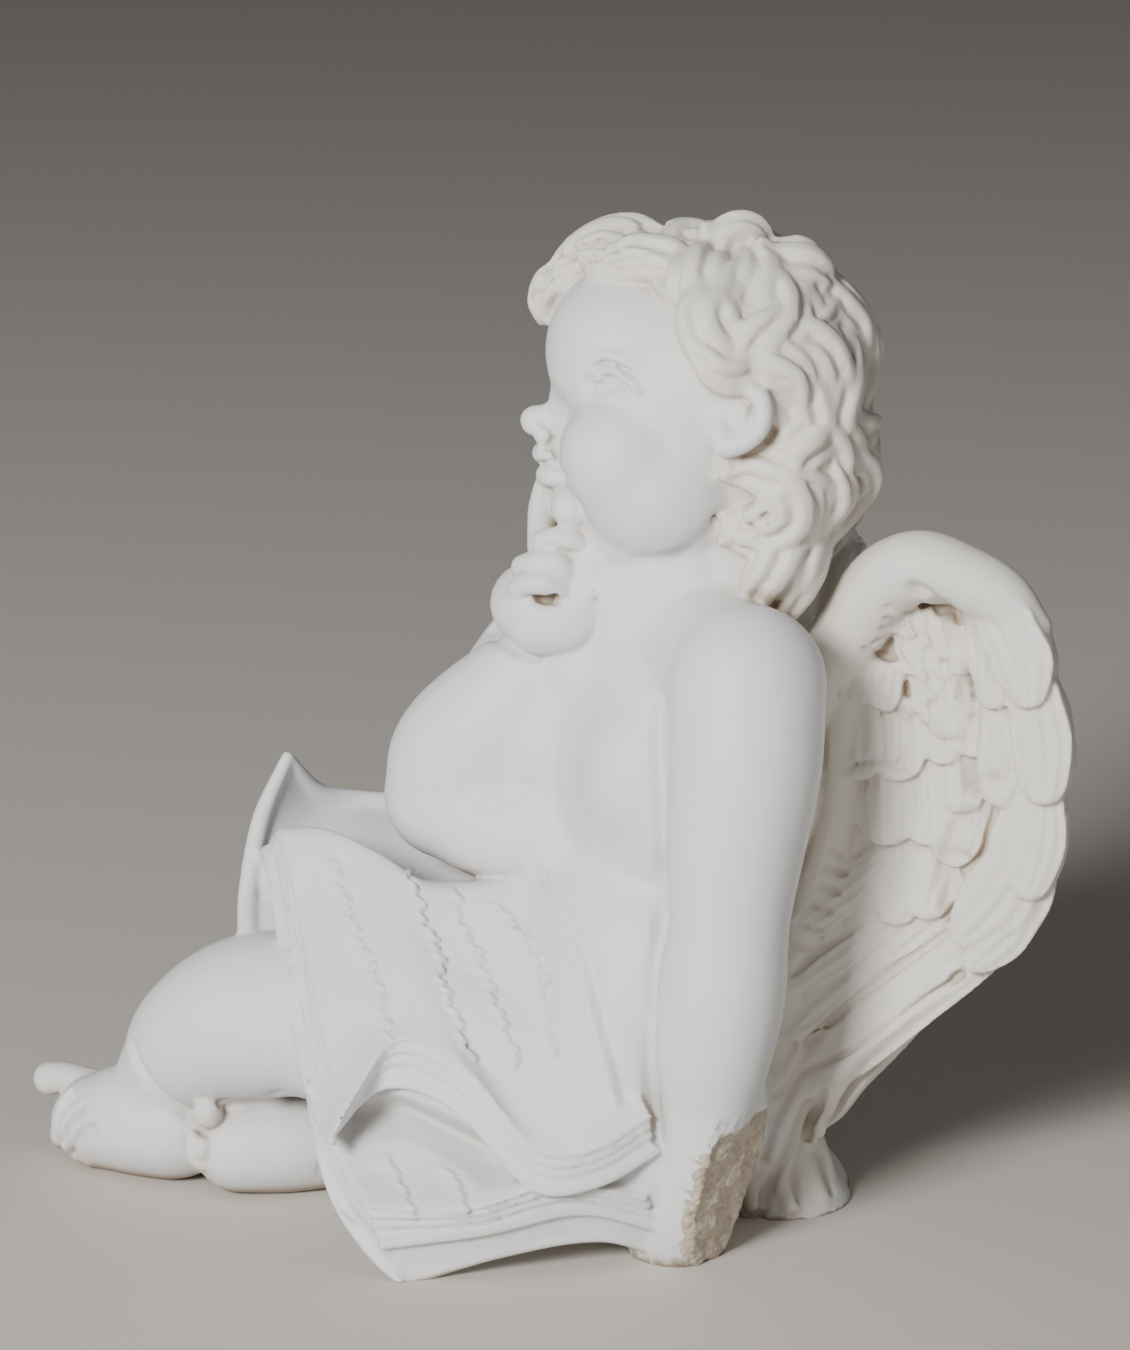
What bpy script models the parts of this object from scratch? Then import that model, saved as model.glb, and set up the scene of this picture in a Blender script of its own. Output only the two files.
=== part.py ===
"""White casting-plaster cherub, seated, with an open book across its knees.

The whole figurine is one casting, so it is one solid. It is laid up the way a modeller works in clay: soft
forms for the flesh are fused and smoothed, then the book, the wings, the hair, the fingers and the toes are
laid on and the lot is fused again. X runs to the figure's left, Y to its back and Z up. Places are in
millimetres of a figurine 110 mm tall, which is scaled to HEIGHT at the end.
"""

import math

import bmesh
import bpy
import numpy as np
from mathutils import Euler, Matrix, Vector
from mathutils.bvhtree import BVHTree

# Driving sizes, in metres
HEIGHT = 0.110
LOCK_WIDTH = HEIGHT * 0.053
LOCK_DEPTH = HEIGHT * 0.034
FEATHER_WIDTH = HEIGHT * 0.056
WING_DEPTH = HEIGHT * 0.036
PAGE_BLOCK = HEIGHT * 0.040
PAGE_GROOVE = HEIGHT * 0.004
FLESH_GRAIN = HEIGHT * 0.0075
FINISH_GRAIN = HEIGHT * 0.0050

# Counts and angles
TRIANGLES = 9500
FLESH_PASSES = 10
FINISH_PASSES = 2
PAGE_LINES = 3
BACK_LOCKS = 9
TORSO_YAW = 20.0
HEAD_YAW = -6.0
PLASTER = (0.86, 0.85, 0.83)

MODEL_HEIGHT = 110.0
MM = HEIGHT / MODEL_HEIGHT

# Middles of the body, in model millimetres
CHEST = (-1.0, 14.0, 50.0)
SKULL = (-3.0, 16.5, 90.5)
LEFT_SHOULDER = (15.6, 20.2, 63.0)
RIGHT_SHOULDER = (-18.0, 4.5, 62.0)
HAIR_CAP = (((-3.0, 16.6, 91.0), (14.4, 14.2, 12.9)), ((-3.0, 22.4, 83.4), (12.8, 9.4, 10.5)),
            ((-3.0, 21.2, 75.0), (11.2, 7.6, 8.5)))


def spline(points, count):
    """A smooth curve through the points, at count even steps."""
    given = np.array(points, float)
    ends = np.vstack([2 * given[0] - given[1], given, 2 * given[-1] - given[-2]])
    step = np.linspace(0, len(given) - 1, count)
    i = np.minimum(step.astype(int), len(given) - 2)
    f = (step - i)[:, None]
    a, b, c, d = ends[i], ends[i + 1], ends[i + 2], ends[i + 3]
    bend = (2 * a - 5 * b + 4 * c - d) * f**2 + (3 * b - a - 3 * c + d) * f**3
    return 0.5 * (2 * b + (c - a) * f + bend)


def unit(v):
    """The vectors at length one."""
    return v / np.maximum(np.linalg.norm(v, axis=-1, keepdims=True), 1e-9)


def skin(clay, rings):
    """Closes a surface over a row of rings, with a cap at each end."""
    rows = [[clay.verts.new(p) for p in ring] for ring in rings]
    sides = len(rows[0])
    for a, b in zip(rows, rows[1:]):
        for k in range(sides):
            clay.faces.new((a[k], a[(k + 1) % sides], b[(k + 1) % sides], b[k]))
    clay.faces.new(rows[0][::-1])
    clay.faces.new(rows[-1])


def ball(clay, centre, radii, yaw=0.0, pitch=0.0, roll=0.0):
    """An ellipsoid of clay. Angles are in degrees: yaw about Z, pitch about X and roll about Y."""
    radii = (radii,) * 3 if isinstance(radii, (int, float)) else radii
    turn = Euler([math.radians(a) for a in (pitch, roll, yaw)]).to_matrix().to_4x4()
    place = Matrix.Translation(Vector(centre)) @ turn @ Matrix.Diagonal((*radii, 1))
    steps = 4 if max(radii) > 6 else 3
    bmesh.ops.create_icosphere(clay, subdivisions=steps, radius=1, matrix=place)


def limb(clay, points, radii, sides=20):
    """A round limb through the points, thick as the radii say, with a ball at each end."""
    path = spline([(*p, r) for p, r in zip(points, radii)], 8 * len(points))
    way, size = path[:, :3], path[:, 3:]
    ahead = unit(np.gradient(way, axis=0))
    side = unit(np.cross(ahead, (0.31, 0.55, 0.78)))
    over = np.cross(side, ahead)
    turn = np.linspace(0, 2 * math.pi, sides, endpoint=False)[:, None]
    rings = zip(way, size, side, over)
    skin(clay, [p + r * (np.cos(turn) * s + np.sin(turn) * o) for p, r, s, o in rings])
    for p, r in ((way[0], size[0]), (way[-1], size[-1])):
        ball(clay, p, float(r[0]))


def ribbon(clay, way, normals, widths, heights, ridges=0, relief=0.12, sides=24):
    """A flattened strand along a path, broad side to the normals, with ridges along its back."""
    ahead = unit(np.gradient(way, axis=0))
    side = unit(np.cross(ahead, normals))
    over = np.cross(side, ahead)
    turn = np.linspace(0, 2 * math.pi, sides, endpoint=False)
    swell = 1 + relief * np.cos(ridges * (turn - math.pi / 2)) if ridges else np.ones(sides)
    rings = []
    for p, s, o, w, h in zip(way, side, over, widths, heights):
        across, up = w * swell * np.cos(turn), h * swell * np.sin(turn)
        rings.append(p + across[:, None] * s + up[:, None] * o)
    skin(clay, rings)


class Sheet:
    """The surface that four edge curves enclose. Near and far run along u, left and right along v."""

    def __init__(self, near, far, left, right, steps=24, curl=1.0):
        self.steps = steps
        self.curl = curl
        self.edges = [spline(curve, steps + 1) for curve in (near, far, left, right)]

    def at(self, u, v):
        near, far, left, right = self.edges
        i, j = int(round(u * self.steps)), int(round(v * self.steps))
        start = left[j] - (1 - v) * near[0] - v * far[0]
        end = right[j] - (1 - v) * near[-1] - v * far[-1]
        return (1 - v) * near[i] + v * far[i] + (1 - u) ** self.curl * start + u * end


def slab(clay, top, bottom, lines=0, groove=0.0, steps=24):
    """A block between two surfaces of (u, v), with lines of pages let into its edges."""
    layers = max(4 * lines, 1)
    ladder = np.linspace(0, 1, steps + 1)
    upper = np.array([[top(a, b) for b in ladder] for a in ladder])
    lower = np.array([[bottom(a, b) for b in ladder] for a in ladder])
    middle = 0.5 * (upper + lower).mean((0, 1))
    verts = {}

    def vert(i, j, k):
        if (i, j, k) not in verts:
            f = k / layers
            p = upper[i, j] * (1 - f) + lower[i, j] * f
            if i in (0, steps) or j in (0, steps):
                depth = groove * 0.5 * (1 - math.cos(2 * math.pi * lines * f))
                p = p + depth * unit(middle - p)
            verts[i, j, k] = clay.verts.new(p)
        return verts[i, j, k]

    for i in range(steps):
        for j in range(steps):
            for k in (0, layers):
                clay.faces.new([vert(i, j, k), vert(i + 1, j, k), vert(i + 1, j + 1, k), vert(i, j + 1, k)])
    for k in range(layers):
        for i in range(steps):
            for j in (0, steps):
                clay.faces.new([vert(i, j, k), vert(i + 1, j, k), vert(i + 1, j, k + 1), vert(i, j, k + 1)])
                clay.faces.new([vert(j, i, k), vert(j, i + 1, k), vert(j, i + 1, k + 1), vert(j, i, k + 1)])


def across_plane(point, centre, yaw):
    """The point's reflection in the upright middle plane of a body part that is turned by yaw."""
    a = math.radians(yaw)
    normal = np.array((math.cos(a), math.sin(a), 0.0))
    p = np.array(point, float)
    return p - 2 * np.dot(p - centre, normal) * normal


def across_head(point):
    return across_plane(point, SKULL, HEAD_YAW)


def across_torso(point):
    return across_plane(point, CHEST, TORSO_YAW)


def torso(clay):
    """Hips, belly, chest, shoulders and neck."""
    ball(clay, (-2, 8.5, 13), (19, 14.5, 14.5), yaw=TORSO_YAW)
    ball(clay, (0.5, 8.5, 29), (17.5, 13.5, 15), yaw=TORSO_YAW)
    ball(clay, (6, 7.2, 21), (13, 11, 17))
    ball(clay, CHEST, (18.0, 14.0, 17.0), yaw=TORSO_YAW)
    ball(clay, (7.0, 9.4, 51.4), (8.0, 6.8, 8.8))
    ball(clay, (-6, 4.0, 51.0), (8, 6.4, 9.0))
    limb(clay, [(-2, 14, 58), (-2.2, 13.4, 68), (-3, 15, 78)], [11.5, 9.6, 9.6])
    for shoulder in (LEFT_SHOULDER, RIGHT_SHOULDER):
        limb(clay, [(-2, 14, 64.5), shoulder], [7.5, 7.4])


def midline(y, z):
    """The place on the middle plane of the head at (y, z)."""
    return SKULL[0] - (y - SKULL[1]) * math.tan(math.radians(HEAD_YAW)), y, z


def head(clay):
    """Skull, brow, cheeks, jaw and the cap that the hair is laid on."""
    ball(clay, SKULL, (13.4, 15.0, 12.9), yaw=HEAD_YAW)
    ball(clay, midline(8.8, 94.0), (10.8, 9.4, 9.4), yaw=HEAD_YAW)
    ball(clay, midline(8.8, 85.4), (9.4, 7.6, 8.3), yaw=HEAD_YAW)
    profile = [midline(2.6, 94.0), midline(2.2, 90.0), midline(1.6, 86.0), midline(1.8, 82.0)]
    limb(clay, profile, [2.2, 2.2, 2.4, 2.2])
    cheek, jaw = (5.0, 7.6, 84.6), (3.6, 11.4, 81.4)
    for place in (np.array, across_head):
        ball(clay, place(cheek), (6.8, 6.8, 6.6))
        ball(clay, place(jaw), (8.4, 8.6, 7.8))
    ball(clay, midline(9.0, 77.6), (8.6, 7.4, 6.4))
    ball(clay, (-1.0, 12.4, 74.6), (8.0, 8.4, 5.6))
    ball(clay, midline(3.2, 77.8), 3.4)
    ball(clay, (-2.4, 2.4, 78.3), (3.0, 2.2, 2.2))
    for centre, radii in HAIR_CAP:
        ball(clay, centre, radii, yaw=HEAD_YAW)


def pressed(tree, points, lift):
    """The points, moved onto the skin of what is already fused and raised by lift."""
    spots = [tree.find_nearest(Vector(p)) for p in points]
    return [np.array(s[0]) + lift * np.array(s[1]) for s in spots]


def dent(clay, points, radius, depth):
    """Presses a hollow into the clay along a line of points, deepest in its middle."""
    clay.normal_update()
    way = spline(points, 6 * len(points)) if len(points) > 1 else np.array(points, float)
    places = np.array([vert.co for vert in clay.verts])
    box = (places > way.min(0) - radius) & (places < way.max(0) + radius)
    clay.verts.ensure_lookup_table()
    for k in np.nonzero(box.all(1))[0]:
        near = np.linalg.norm(way - places[k], axis=1).min()
        if near < radius:
            vert = clay.verts[int(k)]
            vert.co = vert.co - vert.normal * depth * (1 - (near / radius) ** 2) ** 2


def hollows(clay):
    """Eye sockets, the corners of the mouth and the folds of the neck and the elbow."""
    for place in (np.array, across_head):
        dent(clay, [place((1.8, 4.0, 92.9)), place((4.6, 6.4, 93.0))], 3.3, 1.5)
        dent(clay, [place((0.4, 0.9, 82.0))], 2.2, 0.9)
    dent(clay, [(6.0, 12.0, 73.4), (10.0, 15.0, 75.0)], 2.0, 0.6)


def face(clay, tree):
    """Nose, lips, eyelids and ears."""
    nose = [midline(3.8, 91.6), midline(1.9, 88.6), midline(0.1, 86.9), midline(-1.6, 86.3)]
    limb(clay, nose, [1.7, 1.5, 1.4, 1.6])
    ball(clay, midline(-1.5, 85.8), (1.9, 1.5, 1.1))
    ball(clay, midline(0.0, 83.8), (0.9, 1.3, 1.3))
    upper_lip = [(-1.4, 1.4, 82.2), (-2.6, -0.3, 82.9), midline(-0.9, 82.9)]
    lower_lip = [(-1.6, 1.6, 80.6), (-2.8, 0.1, 80.6), midline(-0.5, 80.5)]
    for lip, thick in ((upper_lip, 0.95), (lower_lip, 1.0)):
        far = [across_head(p) for p in reversed(lip[:2])]
        limb(clay, lip + far, [0.6, thick, thick * 1.1, thick, 0.6])
    lid = [(3.2, 4.6, 93.7), (4.2, 5.8, 93.9), (5.4, 7.2, 93.3), (6.6, 9.0, 92.2)]
    fold = [(3.6, 4.8, 94.9), (4.8, 6.1, 94.9), (6.0, 7.8, 94.2), (7.2, 9.8, 92.9)]
    low = [(4.0, 5.6, 91.4), (5.2, 6.8, 91.1), (6.4, 8.4, 91.5)]
    rim = [(11.4, 18.1, 92.2), (12.2, 19.9, 92.9), (12.9, 21.3, 92.2), (13.2, 21.7, 90.6)]
    rim += [(13.0, 21.2, 88.8), (12.4, 19.7, 87.4), (11.8, 17.8, 86.9), (11.3, 17.3, 87.8)]
    inner = [(12.0, 18.8, 91.4), (12.3, 19.7, 90.9), (12.3, 19.6, 89.7), (12.0, 18.9, 89.1)]
    for place in (np.array, across_head):
        ball(clay, place((4.2, 6.3, 92.6)), (1.7, 1.5, 1.25))
        limb(clay, pressed(tree, [place(p) for p in lid], 0.65), [0.35, 0.5, 0.5, 0.3], sides=10)
        limb(clay, pressed(tree, [place(p) for p in fold], 0.05), [0.3, 0.42, 0.42, 0.25], sides=10)
        limb(clay, pressed(tree, [place(p) for p in low], 0.15), [0.3, 0.38, 0.3], sides=10)
        ball(clay, place((-3.3, -0.6, 85.1)), (1.1, 1.2, 1.2))
        limb(clay, [place(p) for p in rim], [0.7, 0.9, 1.0, 1.0, 1.0, 1.05, 1.2, 1.0], sides=12)
        limb(clay, [place(p) for p in inner], [0.5, 0.55, 0.55, 0.5], sides=12)
        ball(clay, place((11.0, 17.4, 89.6)), (1.2, 1.3, 1.6))
        ball(clay, place((10.0, 19.8, 90.0)), (2.2, 3.2, 3.7))


def arms(clay):
    """The left arm, straight down to the ground, and the right one, propped on the book."""
    left = [LEFT_SHOULDER, (18.2, 20.0, 55), (19.0, 18.9, 46), (19.4, 18.4, 38.5), (19.2, 17.7, 31)]
    left += [(18.8, 16.9, 24), (18.3, 16.6, 19)]
    limb(clay, left, [8.2, 7.9, 7.2, 6.3, 6.7, 6.1, 5.0])
    limb(clay, [RIGHT_SHOULDER, (-15, -3, 53), (-9.5, -7.0, 45)], [8.3, 8.0, 7.0])
    forearm = [(-8, -11.0, 44.8), (-7.5, -9.4, 49.5), (-6, -4.6, 55.5), (-4.5, -0.6, 61.0)]
    limb(clay, forearm, [7.0, 7.8, 6.9, 5.0])
    ball(clay, (-3, 3.0, 50), (6, 8, 11))
    ball(clay, (-2.5, 5.0, 61), (5.5, 6.5, 8))
    ball(clay, (-1.5, 4.5, 69), (5, 6, 7))
    limb(clay, [(-8, -10, 44.6), (-4.8, -5.8, 42.8), (-1.8, -0.6, 42.2)], [6.9, 6.6, 5.6])


def legs(clay):
    """Bent legs crossed at the ankles: the left shin passes over the right foot."""
    limb(clay, [(7, 10, 13), (6, -4, 18), (2, -15, 21.5), (-3, -23.5, 20.5)], [12, 11.5, 10.0, 8.6])
    shin = [(-4, -26.0, 21.5), (-7, -33.0, 20.0), (-9.5, -38.6, 16.6), (-12, -42.0, 12.0)]
    limb(clay, shin, [9.0, 9.0, 7.6, 5.8])
    limb(clay, [(-12.5, -41.5, 6.6), (-14.5, -46.0, 6.0), (-16.5, -50.0, 5.0)], [6.8, 6.4, 5.4])
    limb(clay, [(-12, 10, 14), (-22, -2, 22), (-28, -14, 27), (-28, -19, 27)], [12, 11.5, 10.5, 9.5])
    limb(clay, [(-28, -20, 26), (-24, -25, 18), (-18, -28, 10), (-13, -28, 6)], [9, 8.5, 7, 5])
    limb(clay, [(-10, -23, 5.0), (-8.5, -29, 5.2), (-7.5, -34.0, 5.0)], [5.2, 5.6, 5.1])
    ball(clay, (-13.5, -33, 8), (5.5, 6.0, 7.5))


def fist(clay):
    """The right hand under the chin: a curled fist, and a finger up the far cheek."""
    ball(clay, (-2.4, -1.4, 67.2), (5.4, 5.0, 4.6))
    limb(clay, [(0.0, -1.0, 66.0), (0.8, 2.0, 66.6), (0.6, 3.8, 69.4)], [3.8, 3.6, 2.8])
    upper = [(0.8, -1.0, 74.8), (1.5, 0.4, 75.1), (1.6, 2.2, 74.9), (1.0, 3.7, 74.4)]
    middle = [(0.4, -2.9, 71.8), (1.8, -1.1, 72.5), (2.3, 0.8, 72.2), (2.0, 1.7, 71.1)]
    lower = [(1.4, -3.6, 69.5), (2.6, -2.5, 70.5), (3.3, -0.7, 70.6), (3.0, 0.9, 69.7)]
    for finger, thick in ((upper, 1.15), (middle, 1.4), (lower, 1.25)):
        limb(clay, finger, [0.9 * thick, thick, thick, 0.8 * thick])
    ball(clay, (-1.0, 1.6, 71.8), (2.8, 2.6, 3.4))
    limb(clay, [(-5.0, -0.8, 72.6), (-5.4, -0.9, 76.6), (-5.6, -0.6, 79.2)], [1.7, 1.5, 1.15])
    ball(clay, (-8.4, 2.6, 76.5), (2.4, 3.2, 4.2))


def toes(clay):
    """Toes of both feet."""
    limb(clay, [(-19, -50, 7.4), (-21.6, -54.0, 8.2), (-22.8, -56.1, 7.8)], [2.4, 1.8, 1.9])
    for k in range(4):
        x, y = -19.6 + 2.0 * k, 1.2 * k
        toe = [(x, -50.4 + y, 7.4), (x - 0.4, -53.6 + y, 5.4), (x - 0.4, -54.4 + y, 2.1)]
        limb(clay, toe, [1.8, 1.75, 1.6], 14)
    ball(clay, (-4.6, -37.2, 10.1), (1.9, 1.6, 1.9))
    ball(clay, (-4.1, -37.8, 6.0), (1.1, 1.0, 1.3))
    curled = [(-4.9, -38.9, 7.2), (-4.4, -39.0, 5.4), (-4.4, -38.0, 4.1), (-4.6, -36.8, 4.3)]
    limb(clay, curled, [0.7, 0.75, 0.75, 0.6], 12)


def stump(clay):
    """The left wrist and what is left of the hand, broken off along a slanting face."""
    wrist = bmesh.new()
    way = [(18.4, 16.6, 24), (17.0, 17.0, 14), (13.0, 14.4, 5), (10.2, 12.6, -2)]
    limb(wrist, way, [5.4, 5.6, 5.3, 5.0])
    spare = wrist.verts[:] + wrist.edges[:] + wrist.faces[:]
    break_at, break_out = (16.2, 19.6, 9), (0.62, 0.70, -0.35)
    bmesh.ops.bisect_plane(wrist, geom=spare, plane_co=break_at, plane_no=break_out, clear_outer=True)
    bmesh.ops.holes_fill(wrist, edges=[e for e in wrist.edges if e.is_boundary])
    piece = bpy.data.meshes.new("stump")
    wrist.to_mesh(piece)
    wrist.free()
    clay.from_mesh(piece)


def book(clay):
    """The open book: the near pages in two blocks, the far pages with their corner curled up."""
    block = PAGE_BLOCK / MM
    groove = PAGE_GROOVE / MM
    gutter = [(-12, -32.2, 30), (-8, -20, 33), (-5, -6, 33)]
    fore = [(18, -20.8, 18.6), (14, -15.7, 24.2), (19, -8.3, 22.1), (22, -1.1, 14.6), (22, 5.1, 14.9)]
    fore += [(20, 10.8, 17.8)]
    head_edge = [(-11.5, -30.4, 37.2), (-8, -29.1, 40.8), (-1, -27.2, 33.4), (7, -25.0, 25.5)]
    head_edge += [(13, -22.8, 19.8)]
    belly_edge = [(-1, -4.5, 38), (3, -0.6, 38.4), (7, 1, 35.4), (11, 2.8, 31.6), (16, 6.2, 25.4)]
    left_edge, right_edge = [gutter[0], *head_edge, fore[0]], [gutter[-1], *belly_edge, fore[-1]]
    pages = Sheet(gutter, fore, left_edge, right_edge, curl=1.6)

    def under_pages(u, v):
        thick = 0.68 + 0.3 * v * (1 + math.exp(-((u - 0.2) / 0.12) ** 2))
        return pages.at(u, v) - block * np.array((0.71 - 0.6 * v, 0.40 - 0.58 * u + 0.12 * v, thick))

    slab(clay, pages.at, under_pages, PAGE_LINES, groove)
    limb(clay, [under_pages(0.125 * k, 1.0) + (-0.4, 0, 0.4) for k in range(9)], [0.55] * 9, 12)
    limb(clay, [under_pages(0.0, 0.125 * k) + (0.2, 0.4, 0.2) for k in range(9)], [0.55] * 9, 12)
    low_gutter = [(0, -27, 26), (4, -12, 26), (8, 4, 24)]
    low_fore = [(21.5, -19.2, 8.4), (22.2, -8.4, 8.3), (21.0, 1.0, 10.6), (19.0, 10.4, 8.3)]
    low_head = [low_gutter[0], (9, -24.4, 18.4), (14, -22.6, 12.0), low_fore[0]]
    low_belly = [low_gutter[-1], (11, 7, 19), (15, 9, 12), low_fore[-1]]
    low_pages = Sheet(low_gutter, low_fore, low_head, low_belly)
    cover_gutter = [(-6, -26, 14), (0, -12, 8), (4, 4, 4)]
    cover_fore = [(20.6, -15.7, -1.0), (19.6, -5.3, 2.0), (17.5, 5.2, 3.0), (14.5, 13.0, -0.4)]
    cover_head = [cover_gutter[0], (8, -25.4, 13), (16, -22.0, 5.0), cover_fore[0]]
    cover_belly = [cover_gutter[-1], (9, 8, 4), (13, 11, 2), cover_fore[-1]]
    cover = Sheet(cover_gutter, cover_fore, cover_head, cover_belly)
    inset = np.array((-0.8, 0.1, 0.0))

    def low_middle(u, v):
        return 0.5 * (low_pages.at(u, v) + cover.at(u, v))

    slab(clay, low_pages.at, low_middle, PAGE_LINES, groove)

    def cover_top(u, v):
        return low_middle(u, v) + inset * v

    slab(clay, cover_top, lambda u, v: cover.at(u, v) + 0.4 * inset * v)
    limb(clay, [cover.at(0.125 * k, 1.0) + 0.4 * inset + (-0.4, 0, 0.6) for k in range(9)], [0.7] * 9, 12)
    limb(clay, [cover.at(0.0, 0.25 * k) + (0, 0.3, 0.6) for k in range(5)], [0.6] * 5, 12)
    far_gutter = [(-8, -32.8, 28.7), (-8, -20, 33), (-5, -4, 33)]
    far_edge = [(-18, -28.8, 46.2), (-22.5, -25.6, 41.0), (-25, -20, 39.4), (-25, -10, 38.6), (-22, 4, 37)]
    far_head = [far_gutter[0], (-12, -32.9, 33.0), (-15.5, -31.6, 40.0), far_edge[0]]
    far_belly = [far_gutter[-1], (-12, 0, 36), far_edge[-1]]
    far_pages = Sheet(far_gutter, far_edge, far_head, far_belly)

    def under_far_pages(u, v):
        return far_pages.at(u, v) - (block - 1.6 * v) * np.array((0.75 - 0.5 * u, -0.2, 0.55 + 0.35 * u))

    slab(clay, far_pages.at, under_far_pages)
    limb(clay, far_head, [1.2, 1.1, 1.0, 0.7], 12)
    limb(clay, far_edge, [0.7, 1.1, 1.1, 1.1, 1.1], 12)


INNER = [(3.0, 31.6, 64.0), (2.8, 30.6, 57.5), (2.6, 29.6, 47.1), (2.0, 27.4, 35.9), (1.0, 24.4, 24.4),
         (0.2, 22.8, 15.1), (-0.6, 22.0, 7.0)]
OUTER = [(9.6, 46.9, 69.8), (11.1, 49.8, 64.0), (11.7, 51.0, 53.0), (11.0, 50.0, 42.5), (9.2, 45.8, 33.8),
         (6.4, 39.0, 26.2), (3.0, 31.8, 17.6), (1.0, 28.2, 8.0)]
LEADING = [(0.5, 26.8, 56.0), (2.4, 30.8, 64.4), (4.0, 34.3, 70.4), (5.7, 38.2, 73.0), (7.4, 42.6, 72.1),
           (9.0, 46.6, 70.4), (10.4, 49.6, 67.4)]
WING_FRONT = np.array((0.92, -0.39, 0.0))
INNER_LINE = spline(INNER, 61)
OUTER_LINE = spline(OUTER, 61)


def left_wing(s, t, lift):
    """A place on the left wing's front: s from the body outwards, t from the shoulder down to the prop."""
    f = min(max(t, 0.0), 1.0) * 60
    i = min(int(f), 59)
    a = INNER_LINE[i] * (1 - f + i) + INNER_LINE[i + 1] * (f - i)
    b = OUTER_LINE[i] * (1 - f + i) + OUTER_LINE[i + 1] * (f - i)
    swell = math.sin(math.pi * min(max(s, 0.0), 1.0))
    rest = max(1 - t, 0.0)
    arch = np.array((0.0, 0.0, 4.2 * swell * rest**5))
    return a * (1 - s) + b * s + arch + WING_FRONT * (lift - 2.6 * swell * rest**0.5)


def right_wing(s, t, lift):
    """The same place on the right wing, which is lower, spread wider and meets the same prop."""
    p = across_torso(left_wing(s, t, lift)) * (1, 1, 0.95)
    sideways = np.array((-0.34, -0.14, 0.0)) * 12 * s * (1 - t)
    centre = np.array((-5.0, 24.0, p[2]))
    return (p + sideways) * (1 - t**3) + centre * t**3


def feather(clay, place, points, half, lift, rise=1.2, furrows=4):
    """One feather along points across and down the wing, lying like a roof tile.

    It rises from lift to its tip, and has a quill, furrows along the vane and a ragged round tip.
    """
    path = spline([(*p, 0.0) for p in points], 8 + 4 * len(points))
    f = np.linspace(0, 1, len(path))
    way = np.array([place(p[0], p[1], lift + rise * a) for p, a in zip(path, f)])
    out = unit(place(*points[0], 1.0) - place(*points[0], 0.0))
    ahead = unit(np.gradient(way, axis=0))
    side = unit(np.cross(ahead, out))
    blunt = np.sqrt(np.clip(1 - (np.clip(f - 0.7, 0, 1) / 0.315) ** 2, 0.02, 1))
    widths = half * (0.66 + 0.34 * np.clip(2.2 * f, 0, 1)) * blunt
    across = np.linspace(-1, 1, 11)
    seed = 9 * points[0][0] + 7 * points[0][1]
    rings = []
    for k, (p, s, w) in enumerate(zip(way, side, widths)):
        sway = 0.25 * math.sin(4 * f[k] + seed)
        furrow = 1 - np.abs(np.cos(math.pi * furrows * 0.5 * (across + 0.12 * sway * across**2)))
        quill = np.exp(-(across / 0.13) ** 2) * (1 - f[k])
        crown = 0.15 + 0.45 * (1 - across**2) + 0.25 * quill
        crown = crown - 0.42 * furrow * min(1.0, 0.4 + 2 * f[k])
        ragged = 1 + 0.05 * math.sin(17 * f[k] + 5 * seed)
        top = p + (across * w * ragged)[:, None] * s + crown[:, None] * out
        under = p + (across[::-1] * w * 0.9)[:, None] * s - (lift + rise * f[k] + 0.8) * out
        rings.append(np.concatenate((top, under)))
    skin(clay, rings)


def uneven(k, most):
    """A small shift that differs from one feather to the next."""
    return most * math.sin(12.9 * k + 1.3)


# Each feather's places across and down the wing, its width as a share and its root's lift in millimetres
LONG_FEATHERS = (
    ([(0.96, 0.44), (1.00, 0.60), (0.88, 0.78), (0.42, 0.90)], 1.0, -0.4),
    ([(0.94, 0.48), (0.84, 0.64), (0.38, 0.83)], 1.0, -0.2),
    ([(0.76, 0.48), (0.48, 0.61), (0.14, 0.74)], 0.95, 0.0),
    ([(0.55, 0.46), (0.30, 0.55), (0.02, 0.64)], 0.85, 0.2),
    ([(0.36, 0.42), (0.18, 0.48), (-0.04, 0.55)], 0.75, 0.3),
    ([(1.00, 0.38), (1.06, 0.50), (1.05, 0.63)], 0.9, 0.2),
)
OUTER_FEATHERS = (
    ([(0.90, 0.30), (0.96, 0.40), (0.86, 0.57)], 1.2, 1.0),
    ([(0.98, 0.28), (1.03, 0.36), (1.05, 0.48)], 0.85, 0.8),
    ([(0.78, 0.17), (0.84, 0.25), (0.80, 0.34)], 1.0, 1.1),
    ([(0.95, 0.14), (1.01, 0.22), (1.03, 0.33)], 1.05, 1.0),
    ([(0.74, 0.03), (0.78, 0.12), (0.79, 0.21)], 0.9, 1.4),
    ([(0.88, -0.01), (0.96, 0.08), (0.99, 0.20)], 1.1, 1.4),
)
MIDDLE_FEATHERS = (
    ([(0.34, 0.38), (0.43, 0.54)], 1.05, 0.1), ([(0.52, 0.38), (0.58, 0.53)], 0.9, 0.2),
    ([(0.66, 0.30), (0.60, 0.44)], 0.9, 0.3), ([(0.20, 0.27), (0.30, 0.41)], 1.05, 0.2),
    ([(0.40, 0.28), (0.49, 0.41)], 1.0, 0.3), ([(0.56, 0.25), (0.63, 0.36)], 0.85, 0.3),
    ([(0.10, 0.18), (0.12, 0.30)], 0.85, 0.4), ([(0.27, 0.19), (0.30, 0.31)], 0.95, 0.4),
    ([(0.45, 0.18), (0.52, 0.29)], 0.9, 0.4), ([(0.60, 0.17), (0.66, 0.28)], 0.75, 0.5),
)


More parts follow.
